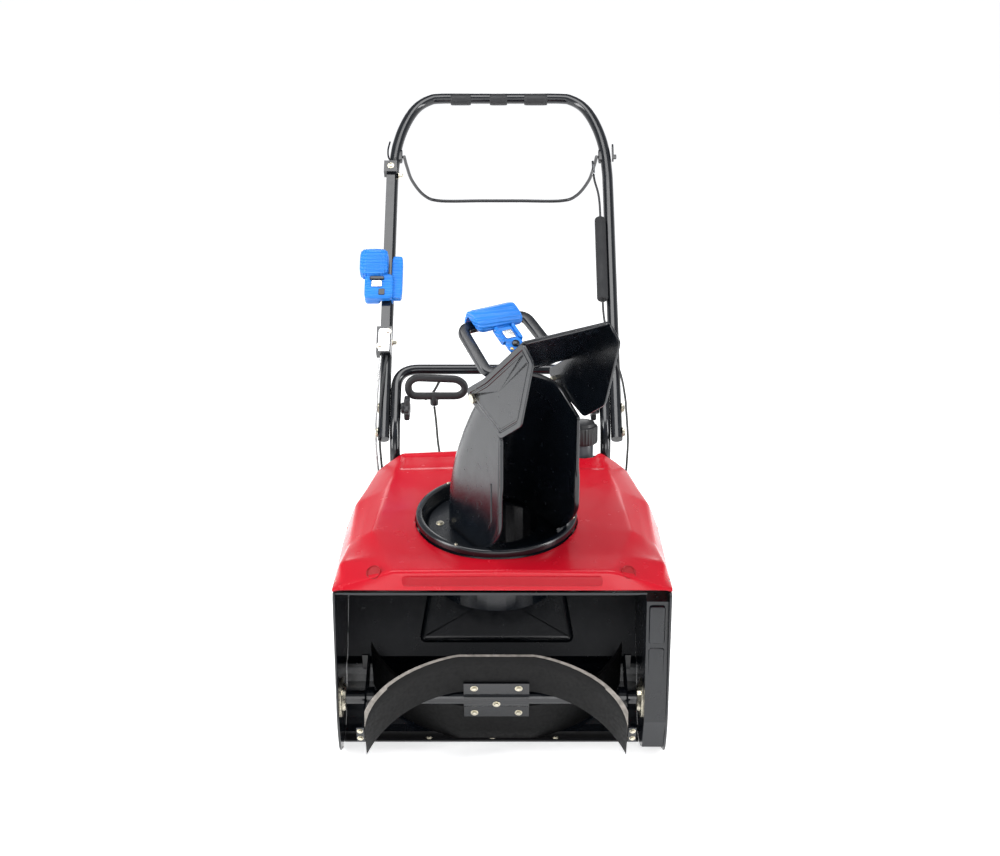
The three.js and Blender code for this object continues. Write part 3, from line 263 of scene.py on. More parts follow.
# Screw pockets at both front corners of the hood, and the small screws along its sides.
# Each pocket is a shallow round dish, and its floor is a darker red: painted shade.
def lathe(profile, centre, axis, count=32, start=(0, 0, 1)):
    """Carries a [radius, height] profile round an axis: centre + height * axis + radius *
    (cos a * side + sin a * axis x side)."""
    profile = np.asarray(profile, float)
    axis = np.asarray(axis, float) / np.linalg.norm(axis)
    start = np.asarray(start, float) if abs(np.dot(start, axis)) < 0.9 else np.array([1.0, 0, 0])
    side = np.cross(axis, start)
    side /= np.linalg.norm(side)
    other = np.cross(axis, side)
    a = np.linspace(0, 2 * np.pi, count, endpoint=False)
    ray = np.cos(a)[:, None] * side + np.sin(a)[:, None] * other
    return (np.asarray(centre, float) + profile[None, :, 1, None] * axis
            + profile[None, :, 0, None] * ray[:, None, :])


def turned(name, profile, centre, axis, body, material, stands_for=(), count=32, sharp=35):
    """A lathe-turned piece as one closed or open skin."""
    ring = lathe(profile, centre, axis, count)
    faces = grid_faces(count, len(profile), along=True)
    return crease(fit(name, make_mesh(name, ring, faces), body, material, stands_for), sharp)


def together(meshes):
    """Points and faces of several grids as one list: each face is raised by the points before it."""
    base, points, faces = 0, [], []
    for p, f in meshes:
        p = np.asarray(p, float).reshape(-1, 3)
        points.append(p)
        faces.append(np.asarray(f) + base)
        base += len(p)
    return np.concatenate(points), np.concatenate(faces)


def screws(name, places, axis, radius, height, body, material, washer=1.5):
    """Hexagon heads with a domed top over a round washer, one at each place."""
    head = [[0, height], [radius * 0.55, height], [radius * 0.92, height * 0.86], [radius, height * 0.7],
            [radius, 0.16 * height]]
    disc = [[0, height * 0.2], [radius * washer * 0.96, height * 0.2], [radius * washer, height * 0.14],
            [radius * washer, -0.4], [0, -0.4]]
    skins = []
    for place in places:
        skins.append((lathe(head, place, axis, 6), grid_faces(6, 5, along=True)))
        skins.append((lathe(disc, place, axis, 20), grid_faces(20, 5, along=True)))
    return crease(fit(name, make_mesh(name, *together(skins)), body, material), 28)


zinc_plate = surface_finish("zinc-plated steel", (0.62, 0.58, 0.47), 0.3, metal=1.0, vary=0.12,
                            uneven=0.1, grain=1500, bump=0.05, drift=60)
# the pockets' darker red is painted shade for the dish floors
painted_shade_pocket_red = surface_finish("shaded red pocket", (0.27, 0.002, 0.006), 0.42, vary=0.04, shine=0.2)
for side in (-1, 1):
    spot = np.array([side * 211.0 - 2, 15.0, 357.5])
    lean = np.array([side * 0.26, -0.62, 0.74])
    turned("hood_pocket_" + ("left" if side < 0 else "right"),
           [[12.6, -2.0], [12.4, 0.3], [11.9, 0.4], [11.2, 0.1], [10.2, -1.5], [0, -1.7]],
           spot, lean, "chassis", painted_shade_pocket_red, count=40)
screws("hood_screws", [[s * 274.5, 30, 334] for s in (-1, 1)] + [[s * 275, 270, 336] for s in (-1, 1)],
       (0, -0.2, 1), 3.2, 2.2, "chassis", zinc_plate)

# ---- Chute collar
# A round black moulded ring screwed to the housing through the hood. The chute's flange turns
# in its step, and the snow comes up through its throat from the housing.
black_moulding = surface_finish("semi-gloss black moulding", (0.003, 0.0045, 0.007), 0.24, vary=0.2,
                                uneven=0.04, grain=420, bump=0.02, drift=14, shine=0.55)
collar_axis = np.array([0, -math.sin(collar_lean), math.cos(collar_lean)])
turned("collar_ring", [
    [103, -38], [135.6, -38], [135.6, -9], [138.6, -9], [139.4, -8.4], [139.6, -7.6], [139.6, -1.2],
    [139.2, 0.8], [137.6, 2.4], [135.4, 3], [131, 3], [129.3, 2.5], [128.6, 1.4], [128.2, 0],
    [121.6, -20.5], [120.9, -23], [119.6, -24], [103.8, -24], [103, -24.8], [103, -38],
], collar_middle, collar_axis, "chassis", black_moulding, ["chute_collar"], count=144)
ring_turns = np.radians([20, 130, 240, 350])
screws("collar_screws",
       [collar_middle + 134.2 * np.array([math.cos(t), math.sin(t) * math.cos(collar_lean),
                                          math.sin(t) * math.sin(collar_lean)]) + 2.8 * collar_axis
        for t in ring_turns],
       collar_axis, 2.6, 1.6, "chassis", zinc_plate, washer=1.1)

# ---- Chute
# A tall U-shaped black moulded channel, flat-sided and round-backed, that leans back as it
# rises and then follows the tilt line of the deflector. Its foot is a flat turning flange.
turn = math.radians(31 - 90)
chute_out = np.array([math.cos(turn), math.sin(turn) * math.cos(collar_lean),
                      math.sin(turn) * math.sin(collar_lean)])
chute_across = np.array([-math.sin(turn), math.cos(turn) * math.cos(collar_lean),
                         math.cos(turn) * math.sin(collar_lean)])


def from_chute(d, l, h):
    """Chute frame to machine frame: d along the throw, l across it, h up the collar's axis."""
    d, l, h = (np.asarray(v, float)[..., None] for v in np.broadcast_arrays(d, l, h))
    return collar_middle + d * chute_out + l * chute_across + h * collar_axis


def back_centre(h):
    """Middle of the round back: it sweeps forward as the 1.8th power of the height."""
    return -13 + 97 * (np.clip(h, 0, None) / 240) ** 1.8


def front_edge(h):
    """Front edges of both sides: upright from 60 mm up, drawn in below it to clear the ring."""
    return np.where(h < 60, 140 - 67 * (np.clip(60 - h, 0, None) / 80) ** 1.6, 140)


def chute_plan(s, h, half):
    """Plan of the U at height h: s 0..1 is one side, 1..2 the half circle, 2..3 the other side."""
    centre, front = back_centre(h), front_edge(h)
    turn_by = np.pi / 2 + np.pi * np.clip(s - 1, 0, 1)
    d = np.where(s < 1, front + (centre - front) * s,
                 np.where(s > 2, centre + (front - centre) * (s - 2), centre + half * np.cos(turn_by)))
    return d, half * np.sin(turn_by)


plan_s = np.concatenate([np.linspace(0, 1, 12)[:-1], np.linspace(1, 2, 37), np.linspace(2, 3, 12)[1:]])
top_h = np.full(plan_s.shape, 265.0)
for _ in range(12):                     # where each upright meets the sloping top edge
    top_h = 0.5 * top_h + 0.5 * (222 + (140 - chute_plan(plan_s, top_h, 76)[0]) * 0.57)
rise_part = np.linspace(0, 1, 40)[:, None] ** 0.9
chute_h = -20 + rise_part * (top_h[None, :] + 20)
chute_d, chute_l = chute_plan(plan_s[None, :], chute_h, 75.9)
chute = fit("chute_channel", make_mesh("chute", from_chute(chute_d, chute_l, chute_h),
                                       grid_faces(*chute_h.shape)),
            "chute_body", black_moulding, ["chute"])
wall(chute, 3.9)
crease(chute, 40)


def strand(path, radius, sides=16, closed=False, guide=(0, 0, 1), squash=1.0, caps=True):
    """A tube along a path: point + radius * (cos a * n + sin a * squash * b), where b is square to the
    path and the guide. With caps, the end rings close to a point."""
    path = np.asarray(path, float)
    radius = np.broadcast_to(np.asarray(radius, float), path.shape[:1]).copy()
    if closed:
        run = np.roll(path, -1, 0) - np.roll(path, 1, 0)
    else:
        run = np.gradient(path, axis=0)
    run /= np.linalg.norm(run, axis=1, keepdims=True)
    b = np.cross(run, np.asarray(guide, float))
    b /= np.maximum(np.linalg.norm(b, axis=1, keepdims=True), 1e-9)
    n = np.cross(b, run)
    if caps and not closed:
        path = np.concatenate([path[:1], path, path[-1:]])
        radius = np.concatenate([[0.001], radius, [0.001]])
        n, b = (np.concatenate([v[:1], v, v[-1:]]) for v in (n, b))
    a = np.linspace(0, 2 * np.pi, sides, endpoint=False)
    points = (path[:, None] + radius[:, None, None]
              * (np.cos(a)[None, :, None] * n[:, None] + squash * np.sin(a)[None, :, None] * b[:, None]))
    return points, grid_faces(len(path), sides, around=True, along=closed)


# The stiffening beads on the chute: a rounded lip down both front edges, a rib behind each,
# and the flat flange at the foot with its screws.
edge_h = np.linspace(-8, 218, 40)
beads = []
for side in (-1, 1):
    proud = 75.2 - 2.0 * np.clip((edge_h - 110) / 20, 0, 1)     # flush where the deflector comes down
    beads.append(strand(from_chute(front_edge(edge_h) - 1.5, side * proud, edge_h), 3.1, 10,
                        guide=chute_out))
rib_h = np.linspace(26, 126, 24)
for side in (-1, 1):
    beads.append(strand(from_chute(front_edge(rib_h) - 30 + 0 * rib_h, side * 75.6, rib_h), 1.9, 8,
                        guide=chute_out))
crease(fit("chute_beads", make_mesh("chute beads", *together(beads)), "chute_body",
           black_moulding), 50)
turned("chute_flange", [[74, -23.6], [117.4, -23.6], [118, -22.8], [118, -19.6], [117.2, -18.8], [74, -18.8],
                        [74, -23.6]], collar_middle, collar_axis, "chute_body",
       black_moulding, count=96)
screws("flange_screws", [from_chute(98 * math.cos(t), 98 * math.sin(t), -18.8)
                         for t in np.radians([118, 165, 195, 242])], collar_axis, 5, 3.6, "chute_body",
       zinc_plate)


def dress(material, *nodes):
    """Gives CAD nodes whose shape is right a finish of their own."""
    for node in nodes:
        bpy.data.objects[node].data.materials.clear()
        bpy.data.objects[node].data.materials.append(material)


dress(zinc_plate, "deflector_pin_left", "deflector_pin_right")

# ---- Deflector
# The tilting deflector is a black moulding of two six-cornered side plates and a top sheet.
# It hinges on a pin through each side of the chute, and its rims are thickened.
six = np.array([[98, 312], [212, 415], [243, 392], [208, 271], [148, 225], [46, 256], [42, 272]], float)


def rounded_outline(corners, radius, per=6):
    """A closed outline with each corner replaced by a quadratic curve that starts and ends
    radius away from it: (1-t)^2 a + 2t(1-t) corner + t^2 b."""
    corners = np.asarray(corners, float)
    to_last = np.roll(corners, 1, 0) - corners
    to_next = np.roll(corners, -1, 0) - corners
    reach_last = np.minimum(radius, 0.45 * np.linalg.norm(to_last, axis=1))[:, None]
    reach_next = np.minimum(radius, 0.45 * np.linalg.norm(to_next, axis=1))[:, None]
    a = corners + to_last / np.linalg.norm(to_last, axis=1, keepdims=True) * reach_last
    b = corners + to_next / np.linalg.norm(to_next, axis=1, keepdims=True) * reach_next
    t = np.linspace(0, 1, per)[None, :, None]
    curve = (1 - t) ** 2 * a[:, None] + 2 * t * (1 - t) * corners[:, None] + t ** 2 * b[:, None]
    return curve.reshape(-1, corners.shape[1])


def inset(outline, amount):
    """Moves a closed outline inwards by the amount along its own normals."""
    run = np.roll(outline, -1, 0) - np.roll(outline, 1, 0)
    out = np.stack([run[:, 1], -run[:, 0]], 1) / np.maximum(np.linalg.norm(run, axis=1, keepdims=True), 1e-9)
    area = 0.5 * np.sum(outline[:, 0] * np.roll(outline[:, 1], -1)
                        - np.roll(outline[:, 0], -1) * outline[:, 1])
    return outline - np.sign(area) * amount * out


def moulded_plate(outline, steps, place):
    """A closed plate from rings of one outline: each step is (inset, height), and the first and
    last rings close to the middle. place turns (x, y, height) into machine points."""
    middle = outline.mean(0)
    rings = [np.broadcast_to(middle, outline.shape)] + [inset(outline, i) for i, _ in steps] + [
        np.broadcast_to(middle, outline.shape)]
    heights = [steps[0][1]] + [h for _, h in steps] + [steps[-1][1]]
    flat = np.stack(rings)
    tall = np.broadcast_to(np.array(heights, float)[:, None], flat.shape[:2])
    return place(flat[..., 0], flat[..., 1], tall), grid_faces(len(rings), len(outline), around=True)


side_outline = rounded_outline(six, 9)
plates = []
for side in (-1, 1):
    def on_side(d, h, t, side=side):
        return from_chute(d, side * (76.8 + t), h)
    plates.append(moulded_plate(side_outline, [(1, 0), (0, 0.8), (0, 3.4), (0.8, 4.2), (8, 4.2),
                                               (9.5, 2.6), (11, 2.6), (12, 3.6), (14, 3.6), (15, 2.6),
                                               (17, 2.6)], on_side))
top_u, top_v = np.meshgrid(np.linspace(0, 1, 24), np.linspace(-1, 1, 25))
crown = 2.2 * (1 - top_v ** 2) * np.sin(np.pi * top_u)
top_d, top_up = 98 + 114 * top_u, 312 + 103 * top_u
top_sheet = from_chute(top_d - 0.67 * crown, 78 * top_v, top_up + 0.74 * crown)
deflector = fit("deflector_sides", make_mesh("deflector sides", *together(plates)), "deflector_body",
                black_moulding, ["deflector"])
crease(deflector, 38)
top = fit("deflector_top", make_mesh("deflector top", top_sheet, grid_faces(25, 24)), "deflector_body",
          black_moulding)
wall(top, 3.2, 0)
crease(top, 40)
lip_l = np.linspace(-77, 77, 24)
front_bead = [strand(from_chute(212 + 0 * lip_l, lip_l, 413.5), 3.2, 10, guide=collar_axis),
              strand(from_chute(98 + 0 * lip_l, lip_l, 312), 3.0, 10, guide=collar_axis)]
fit("deflector_lip", make_mesh("deflector lip", *together(front_bead)), "deflector_body",
    black_moulding)

# ---- Deflector handle and trigger
# A black moulded loop leans back over the chute, and a ribbed blue squeeze grip hangs in it
# from a stem. Squeezing it frees the latch that holds the deflector's tilt.
loop_lean = math.radians(66)
loop_up = -math.sin(loop_lean) * chute_out + math.cos(loop_lean) * collar_axis
loop_face = math.cos(loop_lean) * chute_out + math.sin(loop_lean) * collar_axis
loop_foot = from_chute(93, 0, 312)


def from_loop(x, y, z):
    """Loop frame to machine frame: x across, y up the loop, z towards the throw."""
    x, y, z = (np.asarray(v, float)[..., None] for v in np.broadcast_arrays(x, y, z))
    return loop_foot + x * chute_across + y * loop_up + z * loop_face


def bar_section(wide, deep, sides=28, power=0.45):
    """Section of a rounded bar: a superellipse, (sgn cos |cos|^p * wide, sgn sin |sin|^p * deep)."""
    a = np.linspace(0, 2 * np.pi, sides, endpoint=False)
    return np.stack([wide * np.sign(np.cos(a)) * np.abs(np.cos(a)) ** power,
                     deep * np.sign(np.sin(a)) * np.abs(np.sin(a)) ** power], -1)


def bar_loop(outline, section, place):
    """A bar round a closed flat outline: the section's first axis lies in the outline's plane,
    square to the path, and its second axis is the plane's normal."""
    run = np.roll(outline, -1, 0) - np.roll(outline, 1, 0)
    run /= np.maximum(np.linalg.norm(run, axis=1, keepdims=True), 1e-9)
    out = np.stack([run[:, 1], -run[:, 0]], 1)
    flat = outline[:, None] + section[None, :, :1] * out[:, None]
    return (place(flat[..., 0], flat[..., 1], np.broadcast_to(section[None, :, 1], flat.shape[:2])),
            grid_faces(len(outline), len(section), around=True, along=True))


loop_path = rounded_outline([[-66, 8], [66, 8], [60.5, 110.5], [-60.5, 110.5]], 16, 9)
loop_bar = bar_loop(loop_path, bar_section(9.2, 6.4), lambda x, y, z: from_loop(x, y, z - 5.2))
crease(fit("handle_loop", make_mesh("handle loop", *loop_bar), "deflector_body",
           black_moulding, ["deflector_handle"]), 45)


def soft_block(low, high, place, power=0.28, rows=26, cols=40, bulge=0.0, ribs=None):
    """A rounded block: x = a sgn(cos u)|cos u|^p |cos v|^p, y the same with sin u, z = c sgn(sin v)|sin v|^p.
    bulge swells its middle, and ribs = (count, height) raises rounded lines across z."""
    low, high = np.asarray(low, float), np.asarray(high, float)
    centre, half = (low + high) / 2, (high - low) / 2
    u = np.linspace(0, 2 * np.pi, cols, endpoint=False)[None, :]
    v = np.linspace(-np.pi / 2, np.pi / 2, rows)[:, None]
    raise_to = lambda w: np.sign(w) * np.abs(w) ** power
    x, y, z = (raise_to(np.cos(u)) * raise_to(np.cos(v)), raise_to(np.sin(u)) * raise_to(np.cos(v)),
               raise_to(np.sin(v)) + 0 * u)
    swell = 1 + bulge * (1 - z ** 2)
    if ribs:
        swell = swell + ribs[1] * (0.5 + 0.5 * np.cos(np.pi * ribs[0] * z)) * (np.abs(z) < 0.93)
    points = place(centre[0] + half[0] * x * swell, centre[1] + half[1] * y * swell, centre[2] + half[2] * z)
    return points, grid_faces(rows, cols, around=True)


blue_moulding = surface_finish("satin blue moulding", (0.012, 0.17, 0.60), 0.34, vary=0.1, uneven=0.06,
                               grain=700, bump=0.08, drift=20, shine=0.35, ribs=58)
# the grip: its side outline runs across the loop, drawn in at both ends, with fine lengthwise ribs
grip_side = rounded_outline([[8.8, 80], [21, 80], [25.6, 92], [25.6, 117], [16, 129], [-12, 129],
                             [-12, 124.2], [8.8, 124]], 7, 7)
grip_x = np.concatenate([[-45], np.linspace(-44.8, -38, 8), np.linspace(-36, 28, 24),
                         np.linspace(30, 36.8, 8), [37]])
from_end = np.clip(np.minimum(grip_x + 45.2, 37.2 - grip_x) / 9, 0, 1)
draw = 1 - 0.16 * (1 - np.sqrt(1 - (1 - from_end) ** 2))
draw[[0, -1]] = 0.02
middle = np.array([12.5, 125.6])
length_round = np.concatenate([[0], np.cumsum(np.linalg.norm(np.diff(grip_side, axis=0), axis=1))])
fine_rib = 0.55 * np.sin(2 * np.pi * length_round / 5.2)[None, :] * (from_end > 0.5)[:, None]
ray = grip_side - middle
ray_len = np.linalg.norm(ray, axis=1)
spread = 1 + fine_rib / ray_len[None, :]
grip_flat = middle + ray[None] * (draw[:, None] * spread)[..., None]
grip_points = from_loop(grip_x[:, None] + 0 * grip_flat[..., 0], grip_flat[..., 1], grip_flat[..., 0])
stem = soft_block((-17, 24, 8.6), (13, 88, 15.6), from_loop, power=0.3)
ears = [soft_block((x, 46, 7.6), (x + 6, 82, 19), from_loop, power=0.35) for x in (-21, 11)]
trigger = fit("blue_trigger", make_mesh("blue trigger", *together([
    (grip_points, grid_faces(len(grip_x), len(grip_side), around=True)), stem, *ears])),
    "trigger", blue_moulding, ["deflector_trigger"])
crease(trigger, 42)
bright_steel = surface_finish("bright steel", (0.72, 0.73, 0.74), 0.16, metal=1.0, vary=0.05, uneven=0.05,
                              grain=1400, bump=0.03, grain_axis=(1, 8, 1), drift=40)
window = soft_block((-11, 52, 15.2), (7, 70, 17.4), from_loop, power=0.25, rows=14, cols=28)
fit("trigger_window", make_mesh("trigger window", *window), "trigger", bright_steel)
turned("trigger_bolt", [[0, 5.4], [3.4, 5.2], [5.8, 4], [6.4, 2.4], [6.4, 0], [0, 0]],
       from_loop(-2, 38, 15.4), loop_face, "trigger", black_moulding, count=28)
brass = surface_finish("brass bits", (0.72, 0.46, 0.16), 0.28, metal=1.0, vary=0.1, grain=1200, bump=0.04)
screws("trigger_pins", [from_loop(-13, 30, 15.4), from_loop(9, 30, 15.4)], loop_face, 2.4, 1.8, "trigger",
       brass, washer=1.2)

# ---- Upper handle
# One length of painted steel tube bent to a tall U with wide corners. The operator holds its
# top bar; its lower ends straddle the lower handle and turn on the fold bolts.
handle_lean = math.radians(43.6)
handle_up = np.array([0, math.cos(handle_lean), math.sin(handle_lean)])
handle_face = np.array([0, -math.sin(handle_lean), math.cos(handle_lean)])
handle_foot = np.array([-4.0, 450.0, 439.0])


def from_handle(x, y, z):
    """Handle frame to machine frame: x across, y up the handle, z out of its upper face."""
    x, y, z = (np.asarray(v, float)[..., None] for v in np.broadcast_arrays(x, y, z))
    return handle_foot + x * np.array([1.0, 0, 0]) + y * handle_up + z * handle_face


def flowing(points, per=10):
    """A smooth curve through points: Catmull-Rom, 0.5 * (2b + (c-a)t + (2a-5b+4c-d)t^2 + (3b-a-3c+d)t^3)."""
    p = np.asarray(points, float)
    p = np.concatenate([2 * p[:1] - p[1:2], p, 2 * p[-1:] - p[-2:-1]])
    a, b, c, d = p[:-3, None], p[1:-2, None], p[2:-1, None], p[3:, None]
    t = np.linspace(0, 1, per, endpoint=False)[None, :, None]
    curve = 0.5 * (2 * b + (c - a) * t + (2 * a - 5 * b + 4 * c - d) * t ** 2
                   + (3 * b - a - 3 * c + d) * t ** 3)
    return np.concatenate([curve.reshape(-1, p.shape[1]), p[-2:-1]])


def both_sides(points):
    """The left half of a path from its right half, and the two joined at the middle."""
    right = np.array([(x, y, 0.0) for x, y in points])
    return np.concatenate([right * [-1, 1, 1], right[::-1]])


black_paint = surface_finish("semi-gloss black paint", (0.004, 0.005, 0.007), 0.16, vary=0.2, shine=0.5,
                             uneven=0.05, grain=340, bump=0.03, drift=18, coat=0.25)
upper_path = flowing(both_sides([(219, 5), (219, 200), (219, 400), (219, 580), (218, 630), (214, 680),
                                 (205, 723), (190, 764), (172, 793), (149, 810), (125, 815), (40, 815)]),
                     10)
upper = strand(from_handle(*upper_path.T), 11, 24, guide=handle_face)
crease(fit("upper_tube", make_mesh("upper tube", *upper), "handle", black_paint,
           ["upper_handle"]), 60)
# three low rubber saddles along the top bar, where the bail meets it
saddles = []
for x0, x1 in ((-104, -62), (-22, 14), (50, 98)):
    run_x = np.linspace(x0, x1, 20)
    puff = 11.2 + 1.1 * np.sqrt(np.clip(1 - ((run_x - (x0 + x1) / 2) / ((x1 - x0) / 2)) ** 6, 0, 1))
    saddles.append(strand(from_handle(run_x, 812.6, 0 * run_x), puff, 20, guide=handle_face))
soft_black = surface_finish("soft black rubber", (0.008, 0.0085, 0.010), 0.55, vary=0.15, grain=1300,
                            bump=0.12)
crease(fit("bar_saddles", make_mesh("bar saddles", *together(saddles)), "handle",
           soft_black), 50)

# ---- Lower handle
# A second bent tube stands on the engine deck, leans back at the knee and crosses behind the
# engine. The upper handle folds on it and is clamped by a lobed knob on each side.
def bent(corners, bend, per=10):
    """Straight runs with each corner a quadratic curve that starts and ends bend away from it."""
    corners = np.asarray(corners, float)
    runs = [corners[:1]]
    for before, at, after in zip(corners[:-2], corners[1:-1], corners[2:]):
        a = at + (before - at) / np.linalg.norm(before - at) * bend
        b = at + (after - at) / np.linalg.norm(after - at) * bend
        t = np.linspace(0, 1, per)[:, None]
        runs.append((1 - t) ** 2 * a + 2 * t * (1 - t) * at + t ** 2 * b)
    path = np.concatenate(runs + [corners[-1:]])
    far = np.linalg.norm(np.diff(path, axis=0), axis=1) > 1e-6
    return path[np.concatenate([[True], far])]


bar_y, bar_z = 450 + 157 * math.cos(handle_lean), 439 + 157 * math.sin(handle_lean)
knee_z = 439 + 6 * math.tan(handle_lean)
left_leg = [[-202, 456, 143.3], [-202, 456, knee_z], [-202, bar_y, bar_z]]
right_leg = [[194, bar_y, bar_z], [194, 456, knee_z], [194, 456, 143.3]]
lower_path = bent(left_leg + right_leg, 42, 12)
lower = strand(lower_path, 10, 24, guide=(0.02, -0.69, 0.72))
crease(fit("lower_tube", make_mesh("lower tube", *lower), "chassis", black_paint,
           ["lower_handle"]), 60)

# Fold knobs and bolts: a six-lobed black knob inside each lower leg, on a bolt that comes
# through both tubes, with a plated nut outside.
def lobed(profile, centre, axis, lobes=6, depth=3.0, count=96):
    """A turned profile whose radius swells and shrinks round the axis: r + depth * w * cos(lobes * a)."""
    profile = np.asarray(profile, float)
    base = lathe(profile[:, :2], centre, axis, count)
    a = np.linspace(0, 2 * np.pi, count, endpoint=False)
    axis = np.asarray(axis, float) / np.linalg.norm(axis)
    centre = np.asarray(centre, float)
    spoke = base - centre - ((base - centre) @ axis)[..., None] * axis
    size = np.maximum(np.linalg.norm(spoke, axis=-1, keepdims=True), 1e-6)
    grow = depth * profile[None, :, 2] * np.cos(lobes * a)[:, None]
    return base + spoke / size * grow[..., None], grid_faces(count, len(profile), along=True)


knob_black = surface_finish("matt black moulding", (0.008, 0.0085, 0.010), 0.42, vary=0.15, grain=600,
                            bump=0.08)
knob_profile = [[0, 5.2, 0], [9, 5, 0], [10.6, 4.4, 0], [11, 3, 0], [11, 0, 0], [12.5, -0.4, 0.2],
                [18.6, -0.8, 1], [20.6, -2.2, 1], [21, -4, 1], [21, -8, 1], [20.4, -10, 1],
                [18, -11.4, 1], [10, -11.8, 0.3], [8.5, -12.6, 0], [0, -13, 0]]
for side, body in ((-1, "knob_left"), (1, "knob_right")):
    centre = from_handle(side * (198 - 10.3 - 5.2), 72, 0)
    turned_knob = lobed(knob_profile, centre, [side, 0, 0])
    crease(fit(body + "_grip", make_mesh(body, *turned_knob), body, knob_black,
               ["fold_" + body]), 40)
fold_places = [from_handle(side * 230.2, y, 0) for side in (-1, 1) for y in (20, 72)]
screws("fold_nuts_left", fold_places[:2], (-1, 0, 0), 7, 5.5, "handle", zinc_plate, washer=1.4)
screws("fold_nuts_right", fold_places[2:], (1, 0, 0), 7, 5.5, "handle", zinc_plate, washer=1.4)

# ---- Bail
# A sprung steel rod that hangs below the top bar. Drawn up to the bar it tightens the belt.
# Small tabs on the handle carry its ends, and a J-shaped wire stop is beside the left one.
bail_lean = -math.radians(89)


def from_bail(x, y, z):
    """Bail frame to machine frame: the handle's, moved 664 up and turned down by 89 degrees."""
    return from_handle(x, 664 + np.asarray(y) * math.cos(bail_lean) - np.asarray(z) * math.sin(bail_lean),
                       np.asarray(y) * math.sin(bail_lean) + np.asarray(z) * math.cos(bail_lean))


bail_path = flowing(both_sides([(198, 0), (194, 35), (185, 86), (162, 138), (129, 158), (40, 158)]), 12)
bail = strand(from_bail(*bail_path.T), 3.5, 14, guide=handle_face)
crease(fit("bail_rod", make_mesh("bail rod", *bail), "bail", black_paint, ["handle_bail"]),
       60)
tabs = [soft_block((side * 206 - 5, 650, -7), (side * 206 + 5, 678, 7), from_handle, power=0.3)
        for side in (-1, 1)]
hook_path = flowing([[-228, 700, 2], [-231, 676, 6], [-229, 655, 8], [-221, 645, 10], [-213, 652, 12]], 8)
hook = strand(from_handle(*hook_path.T), 1.8, 10, guide=handle_face)
crease(fit("bail_tabs", make_mesh("bail tabs", *together([*tabs, hook])), "handle",
           black_paint), 45)
side_bracket = [soft_block((229, 652, -4), (233, 690, 10), from_handle, power=0.25),
                soft_block((229, 652, 6), (238, 662, 10), from_handle, power=0.25)]
fit("cable_bracket", make_mesh("cable bracket", *together(side_bracket)), "handle",
    black_paint)

# ---- Bail cable and its sleeve
# A black sheathed cable from the bail's right end, through a foam sleeve on the leg, past the fold
# and down to the idler arm. Steel ends are crimped on it.
sheath = surface_finish("black cable sheath", (0.008, 0.0085, 0.010), 0.34, vary=0.1, grain=1600, bump=0.06)


def cable(name, points, radius, body, material, nodes, per=8, sides=10):
    """A held cable through handle-frame points, as one tube."""
    path = flowing(points, per)
    thing = fit(name, make_mesh(name, *strand(from_handle(*path.T), radius, sides, guide=(0.9, 0.3, 0.3))),
                body, material, nodes)
    return crease(thing, 60)


bail_cable = cable("bail_cable", [
    [189, 648, 5], [191, 600, 10], [200, 540, 12.5], [200, 400, 12.5], [200, 300, 12.5], [203, 250, 15],
    [214, 190, 18], [230, 135, 15], [237, 90, 8], [238, 66, 6], [239, 40, 4], [240, 5, -4], [238, -30, -26],
    [236, -60, -58], [238, -90, -82], [244, -132, -84]], 2.2, None, sheath,
    ["bail_cable_upper", "bail_cable_lower"])
fold_from, fold_to = metres(from_handle(0, -20, 0)), metres(from_handle(0, 80, 0))
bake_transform(bail_cable)
foam = surface_finish("black foam sleeve", (0.008, 0.0085, 0.010), 0.72, vary=0.18, grain=1100, bump=0.3)
sleeve_y = np.concatenate([[307, 307.3, 308.6], np.linspace(311, 496, 24), [498.4, 499.7, 500]])
sleeve_r = np.interp(sleeve_y, [307, 308.6, 311, 496, 498.4, 500], [8.5, 10.2, 11, 11, 10.2, 8.5])
crease(fit("foam_sleeve",
           make_mesh("foam sleeve", *strand(from_handle(200 + 0 * sleeve_y, sleeve_y, 12.5), sleeve_r, 24,
                                            guide=handle_face)),
           "handle", foam, ["cable_sleeve"]), 45)
crimp_y = np.linspace(612, 640, 9)
fit("cable_crimp",
    make_mesh("cable crimp", *strand(from_handle(190.3 + 0 * crimp_y, crimp_y, 9 - (crimp_y - 600) / 11),
                                     3.1, 12, guide=handle_face)),
    "handle", bright_steel)

# ---- Chute control
# A flat rail along the left leg carries a sliding lever with a ribbed blue grip. A steel
# conduit runs from the rail's lower bracket to the chute drive.
dress(black_paint, "chute_rail", "rail_bracket_lower")


def from_lever(x, y, z):
    """Lever frame to machine frame: the handle's, moved to the rail at (-222, 335, 17)."""
    return from_handle(np.asarray(x) - 222, np.asarray(y) + 335, np.asarray(z) + 17)


lever_parts = [
    soft_block((-42, -42, 10.4), (14, 14, 26), from_lever, power=0.3),
    soft_block((-42, -40, -3.6), (-10, 12, 14), from_lever, power=0.3),
    soft_block((9.9, -40, -3.6), (14, 12, 14), from_lever, power=0.3),
    soft_block((10, -38, 2.4), (31.6, 60, 19.6), from_lever, power=0.32),
]
